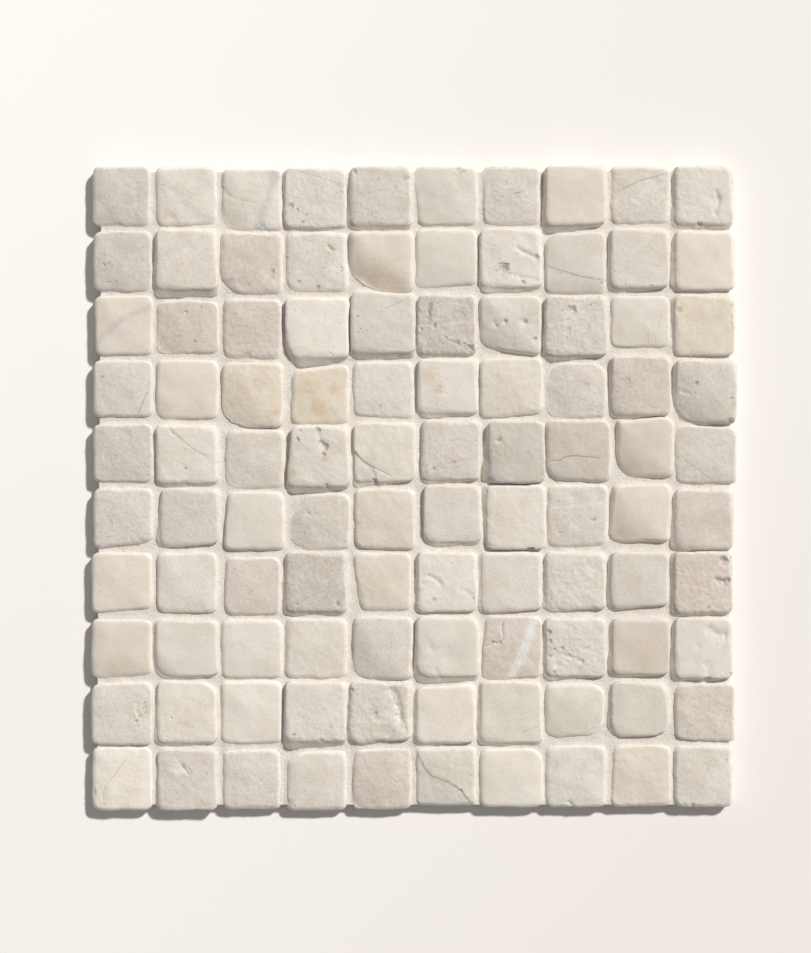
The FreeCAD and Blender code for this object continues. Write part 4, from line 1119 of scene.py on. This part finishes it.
def closeGroup(tree, color, height):
    outlet = tree.nodes.new("NodeGroupOutput")
    tree.links.new(color, outlet.inputs["Color"])
    tree.links.new(height, outlet.inputs["Height"])
    return tree


# The stone itself: clouds of two tones, fine grains and sparse specks
def rockGroup():
    tree, given = newGroup("tumbledRock", {
        "Light Tone": (0.6, 0.55, 0.48, 1), "Dark Tone": (0.5, 0.45, 0.38, 1), "Cloud Size": 14.0,
        "Cloud Contrast": 0.6, "Grain Contrast": 0.1, "Specks": 0.3, "Relief": 0.5})
    place = stonePlace(tree)
    values = {"Vector": sizedBy(tree, place, given["Cloud Size"]), "Scale": 1.0, "Detail": 5.0,
              "Roughness": 0.6, "Distortion": 0.5}
    clouds = rampOf(tree, put(tree, "TexNoise", values).outputs["Fac"], 0.34, 0.66)
    amount = times(tree, clouds, given["Cloud Contrast"])
    color = mixOf(tree, amount, given["Light Tone"], given["Dark Tone"])
    grains = times(tree, patches(tree, place, 0.45, 2.0, 0.75), 0.5)
    blotches = times(tree, patches(tree, place, 1.4, 4.0, 0.7), 0.5)
    both = plus(tree, grains, blotches)
    swing = times(tree, minus(tree, both, 0.5), given["Grain Contrast"])
    color = mixOf(tree, 1.0, color, greyOf(tree, plus(tree, swing, 0.5)), "OVERLAY")
    spots = put(tree, "TexVoronoi", {"Vector": place, "Scale": 1 / 3.2}, feature="F1")
    near = minus(tree, 1.0, rampOf(tree, spots.outputs["Distance"], 0.03, 0.12))
    chosen = rampOf(tree, patches(tree, place, 7.0, 1.0), 0.5, 0.7)
    speck = times(tree, times(tree, near, chosen), given["Specks"])
    color = mixOf(tree, times(tree, speck, 0.7), color, (0.17, 0.12, 0.08, 1))
    height = minus(tree, times(tree, both, given["Relief"]), times(tree, speck, 0.6))
    return closeGroup(tree, color, height)


# Veins, stains and wide patches of painted shade, pits darkened by painted shade, cracks and the paler
# worn rim, also a painted highlight, laid over the stone's own colour
def marksGroup():
    tree, given = newGroup("stoneMarks", {
        "Color": (0.6, 0.55, 0.48, 1), "Height": 0.0, "Blue Vein": toneOf(197, 195, 191),
        "White Vein": toneOf(232, 230, 226), "Stain": toneOf(206, 175, 136),
        "Hollow Tone": toneOf(176, 162, 143), "Worn Tone": toneOf(246, 240, 231),
        "Crack Tone": toneOf(126, 112, 96), "Crack Width": 0.2, "Rim Paleness": 0.6, "Pecks": 0.5})
    place = stonePlace(tree)
    broken = patches(tree, place, 1.6, 4.0, 0.7)

    vein = readMask(tree, "veinMask")
    strength = rampOf(tree, broken, 0.3, 0.6, 0.5, 1.2)
    strength = times(tree, mathOf(tree, "ABSOLUTE", vein), strength, True)
    isWhite = mathOf(tree, "GREATER_THAN", vein, 0.0)
    tone = mixOf(tree, isWhite, given["Blue Vein"], given["White Vein"])
    color = mixOf(tree, times(tree, strength, 0.85), given["Color"], tone)
    # Stains: real ones, and wide ones that are painted shade on faces that fall away
    stain = times(tree, readMask(tree, "stainMask"), rampOf(tree, broken, 0.25, 0.6))
    color = mixOf(tree, times(tree, stain, 0.7), color, given["Stain"])
    # Paler rims: real wear, and a painted highlight standing in for the lit rims
    rim = times(tree, readMask(tree, "rimWear"), given["Rim Paleness"])
    color = mixOf(tree, times(tree, rim, rampOf(tree, broken, 0.3, 0.6)), color, given["Worn Tone"])

    # A ragged hollow where the pit mask is, and small pecks scattered over worn stones, both darkened
    # towards their bottoms as painted shade
    mask = readMask(tree, "pitMask")
    crumbs = patches(tree, place, 0.8, 4.0, 0.75)
    ragged = plus(tree, mask, times(tree, minus(tree, crumbs, 0.5), 1.1))
    hollow = times(tree, rampOf(tree, ragged, 0.15, 0.95), rampOf(tree, mask, 0.02, 0.3))
    shift = put(tree, "CombineXYZ", {k: times(tree, crumbs, 0.9) for k in range(3)}).outputs[0]
    bent = put(tree, "VectorMath", {0: place, 1: shift}, operation="ADD").outputs[0]
    cells = put(tree, "TexVoronoi", {"Vector": bent, "Scale": 1 / 2.3}, feature="F1")
    chance = put(tree, "SeparateColor", {0: cells.outputs["Color"]}).outputs[0]
    where = rampOf(tree, patches(tree, place, 9.0, 2.0), 0.42, 0.6)
    reach = times(tree, rampOf(tree, chance, 0.62, 1.0, 0.0, 0.34), where)
    peck = rampOf(tree, minus(tree, reach, cells.outputs["Distance"]), 0.0, 0.07)
    peck = times(tree, peck, given["Pecks"])
    # Painted shade: pits and pecks darker towards their bottoms
    bottom = plus(tree, times(tree, hollow, 0.22), rampOf(tree, mask, 0.75, 1.1, 0.0, 0.4))
    hollowShade = mathOf(tree, "MAXIMUM", bottom, times(tree, peck, 0.12))
    color = mixOf(tree, hollowShade, color, given["Hollow Tone"])

    # A fine jagged line along each crack
    jag = times(tree, minus(tree, patches(tree, place, 1.1, 3.0, 0.7), 0.5), 1.2)
    side = mathOf(tree, "ABSOLUTE", plus(tree, readMask(tree, "crackSide"), jag))
    line = minus(tree, 1.0, mathOf(tree, "DIVIDE", side, given["Crack Width"]), True)
    line = times(tree, line, rampOf(tree, broken, 0.3, 0.5, 0.35, 1.0))
    crack = times(tree, line, readMask(tree, "crackDepth"), True)
    color = mixOf(tree, times(tree, crack, 0.32), color, given["Crack Tone"])

    height = given["Height"]
    for what, depth in ((crack, 1.2), (hollow, 1.5), (peck, 0.7)):
        height = minus(tree, height, times(tree, what, depth))
    return closeGroup(tree, color, height)


# Fine sand in cement: tone and relief, for the joints and for what is left of it on the stones, whose
# tones there are also painted light and shade on the feet
def sandGroup():
    tree, given = newGroup("sandyCement", {
        "Light": (0.7, 0.66, 0.58, 1), "Dark": (0.5, 0.45, 0.37, 1), "Grain Size": 0.45,
        "Contrast": 0.5})
    place = placeIn(tree)
    sized = sizedBy(tree, place, given["Grain Size"])
    sand = patches(tree, sized, 1.0, 2.0, 0.7)
    patch = patches(tree, place, 6.0, 4.0, 0.65)
    grit = put(tree, "TexVoronoi", {"Vector": sized, "Scale": 0.5}, feature="F1").outputs["Distance"]
    tone = plus(tree, times(tree, sand, 0.6), times(tree, patch, 0.4))
    amount = times(tree, rampOf(tree, tone, 0.35, 0.7), given["Contrast"])
    color = mixOf(tree, amount, given["Light"], given["Dark"])
    return closeGroup(tree, color, minus(tree, sand, times(tree, grit, 0.5)))


rock, marksOver, sandyCement = rockGroup(), marksGroup(), sandGroup()

# Tone of a level face, cloud size, cloud contrast, grain contrast, specks, relief, pecks and roughness
finishes = {
    "cream": ((223, 216, 205), 16, 0.55, 0.30, 0.3, 0.9, 0.3, 0.62),
    "grey": ((218, 211, 201), 12, 0.65, 0.50, 0.4, 1.5, 0.8, 0.68),
    "white": ((226, 219, 209), 12, 0.50, 0.34, 0.3, 1.2, 0.6, 0.66),
    "peach": ((221, 211, 198), 18, 0.50, 0.30, 0.2, 0.8, 0.2, 0.60),
    "honey": ((221, 210, 193), 9, 0.60, 0.38, 0.5, 1.0, 0.4, 0.62),
    "tan": ((211, 201, 190), 12, 0.60, 0.50, 0.4, 1.4, 0.7, 0.66),
    "green": ((217, 211, 199), 12, 0.55, 0.38, 0.3, 1.1, 0.4, 0.64),
    "lilac": ((217, 209, 200), 10, 0.60, 0.60, 0.3, 1.7, 0.9, 0.72),
    "slate": ((204, 197, 188), 8, 0.80, 0.62, 0.6, 1.7, 1.0, 0.68),
}
kinds = list(finishes)

# Filler residue on the stones' low sides, its tones also set as painted light and shade on their feet,
# and painted light that makes every steep side paler
hazeAndPaintedLight = {
    "light": (241, 232, 218),
    "dark": (210, 198, 181),
    "smear": 3.2,          # how far its upper edge wanders
    "bottom": -2.2,        # full below here and gone above the next, from the filler's top
    "top": -0.6,
    "most": 0.8,
    "steep": (0.45, 0.9),  # the upward share of the normal of a full side, and of a face
    # Painted light: every steep side is paled towards this tone, lifting its shade
    "paintedSideLight": (249, 243, 234),
    "paintedSideLightMost": 0.65,
}


# A new material, its shader tree and its surface
def newMaterial(name, roughness):
    material = bpy.data.materials.new(name)
    material.use_nodes = True
    surface = material.node_tree.nodes["Principled BSDF"]
    surface.inputs["Roughness"].default_value = roughness
    return material, material.node_tree, surface


# Colour, relief of so many metres and gloss for a mineral surface
def finishMineral(tree, surface, color, height, relief, gloss):
    bump = put(tree, "Bump", {"Strength": 0.9, "Distance": relief, "Height": height})
    tree.links.new(color, surface.inputs["Base Color"])
    tree.links.new(bump.outputs["Normal"], surface.inputs["Normal"])
    surface.inputs["Specular IOR Level"].default_value = gloss


def stoneMaterial(kind):
    tone, size, contrast, grain, specks, relief, pecks, roughness = finishes[kind]
    material, tree, surface = newMaterial(kind + "TumbledStone", roughness)
    own = put(tree, "Group", {
        "Light Tone": toneOf(*tone, 1.04),
        "Dark Tone": toneOf(tone[0] * 0.965, tone[1] * 0.95, tone[2] * 0.925),
        "Cloud Size": size, "Cloud Contrast": contrast, "Grain Contrast": grain, "Specks": specks,
        "Relief": relief}, node_tree=rock)
    marked = put(tree, "Group", {
        "Color": own.outputs["Color"], "Height": own.outputs["Height"], "Pecks": pecks},
        node_tree=marksOver)
    tint = greyOf(tree, readMask(tree, "stoneShade"))
    color = mixOf(tree, 1.0, marked.outputs["Color"], tint, "MULTIPLY")
    # Filler residue near the grout, its tones also painted light and shade on the feet
    residueAndFootLight = put(tree, "Group", {"Light": toneOf(*hazeAndPaintedLight["light"]), "Dark": toneOf(*hazeAndPaintedLight["dark"])},
               node_tree=sandyCement)
    place = placeIn(tree)
    smear = times(tree, patches(tree, place, 4.0, 4.0, 0.7), hazeAndPaintedLight["smear"])
    level = minus(tree, put(tree, "SeparateXYZ", {0: place}).outputs[2], smear)
    top = sheet["groutTop"]
    amount = rampOf(tree, level, top + hazeAndPaintedLight["bottom"], top + hazeAndPaintedLight["top"], hazeAndPaintedLight["most"], 0.0)
    facing = put(tree, "SeparateXYZ", {0: put(tree, "NewGeometry").outputs["True Normal"]}).outputs[2]
    side = rampOf(tree, facing, *hazeAndPaintedLight["steep"], 1.0, 0.0)
    color = mixOf(tree, times(tree, amount, side), color, residueAndFootLight.outputs["Color"])
    # Painted light: steep sides paled, lifting their shade
    color = mixOf(tree, times(tree, side, hazeAndPaintedLight["paintedSideLightMost"]), color, toneOf(*hazeAndPaintedLight["paintedSideLight"]))
    finishMineral(tree, surface, color, marked.outputs["Height"], 0.00032, 0.35)
    return material


def groutMaterial():
    material, tree, surface = newMaterial("sandedGrout", 0.85)
    sand = put(tree, "Group", {
        "Light": toneOf(239, 232, 223), "Dark": toneOf(203, 195, 184), "Grain Size": 0.5,
        "Contrast": 0.75}, node_tree=sandyCement)
    finishMineral(tree, surface, sand.outputs["Color"], sand.outputs["Height"], 0.0004, 0.2)
    return material


def netMaterial():
    material, _, surface = newMaterial("coatedGlassFibre", 0.5)
    surface.inputs["Base Color"].default_value = (0.80, 0.80, 0.78, 1)
    return material


# Pale paper, a little brighter towards the light
def paperMaterial():
    material, tree, surface = newMaterial("palePaper", 0.95)
    place = put(tree, "SeparateXYZ", {0: put(tree, "TexCoord").outputs["Object"]}).outputs
    diagonal = minus(tree, place[0], place[1])
    near = rampOf(tree, diagonal, -0.42, -0.05)
    color = mixOf(tree, near, toneOf(255, 252, 244), toneOf(245, 241, 236))
    color = mixOf(tree, rampOf(tree, diagonal, 0.0, 0.42), color, toneOf(240, 233, 229))
    tree.links.new(color, surface.inputs["Base Color"])
    surface.inputs["Specular IOR Level"].default_value = 0.1
    return material


# Building

materials = {kind: stoneMaterial(kind) for kind in kinds}
rows = range(1, sheet["perSide"] + 1)
read = {(row, column): facts for row in rows for column, facts in enumerate(readRow(row), 1)}
spreadStones(read)
for row in rows:
    makeRow(row, read, materials)
made = [o for o in bpy.data.objects if o.name.startswith("tumbled")]
print("stones:", sum(len(o.data.polygons) for o in made), "faces")
groutWeb = makeGrout(groutMaterial())
print("grout:", len(groutWeb.data.polygons), "faces")
backingNet = makeNet(netMaterial())
print("net:", len(backingNet.data.polygons), "faces")


# Stage

stage = {
    "floorHalf": 4,
    "viewLong": 0.448,     # what the long side of the picture shows at the stones
    "viewLevel": 0.009,    # the height at which it does
    "lens": 100,
    "sensor": 36,
    "aim": (-0.0035, 0.0056),
}
floorMesh = bpy.data.meshes.new("paleFloor")
bm = bmesh.new()
bmesh.ops.create_grid(bm, x_segments=1, y_segments=1, size=stage["floorHalf"])
bm.to_mesh(floorMesh)
bm.free()
floor = addObject(floorMesh, [paperMaterial()])

camera = bpy.data.objects.new("camera", bpy.data.cameras.new("camera"))
camera.data.lens = stage["lens"]
camera.data.sensor_width = stage["sensor"]
distance = stage["viewLong"] * stage["lens"] / stage["sensor"]
camera.location = (*stage["aim"], distance + stage["viewLevel"])
bpy.context.scene.collection.objects.link(camera)
bpy.context.scene.camera = camera

key = bpy.data.objects.new("key", bpy.data.lights.new("key", "SUN"))
key.data.energy = light["keyPower"]
key.data.angle = math.radians(light["keyAngle"])
key.data.color = light["keyTint"]
key.rotation_mode = "QUATERNION"
key.rotation_quaternion = Vector(light["keyTravel"]).to_track_quat("-Z", "Y")
bpy.context.scene.collection.objects.link(key)

world = bpy.data.worlds.new("studio")
bpy.context.scene.world = world
world.use_nodes = True
sky = world.node_tree.nodes["Background"]
sky.inputs["Color"].default_value = (*light["fillTint"], 1)
sky.inputs["Strength"].default_value = light["fill"]
bpy.context.scene.view_settings.view_transform = "Standard"
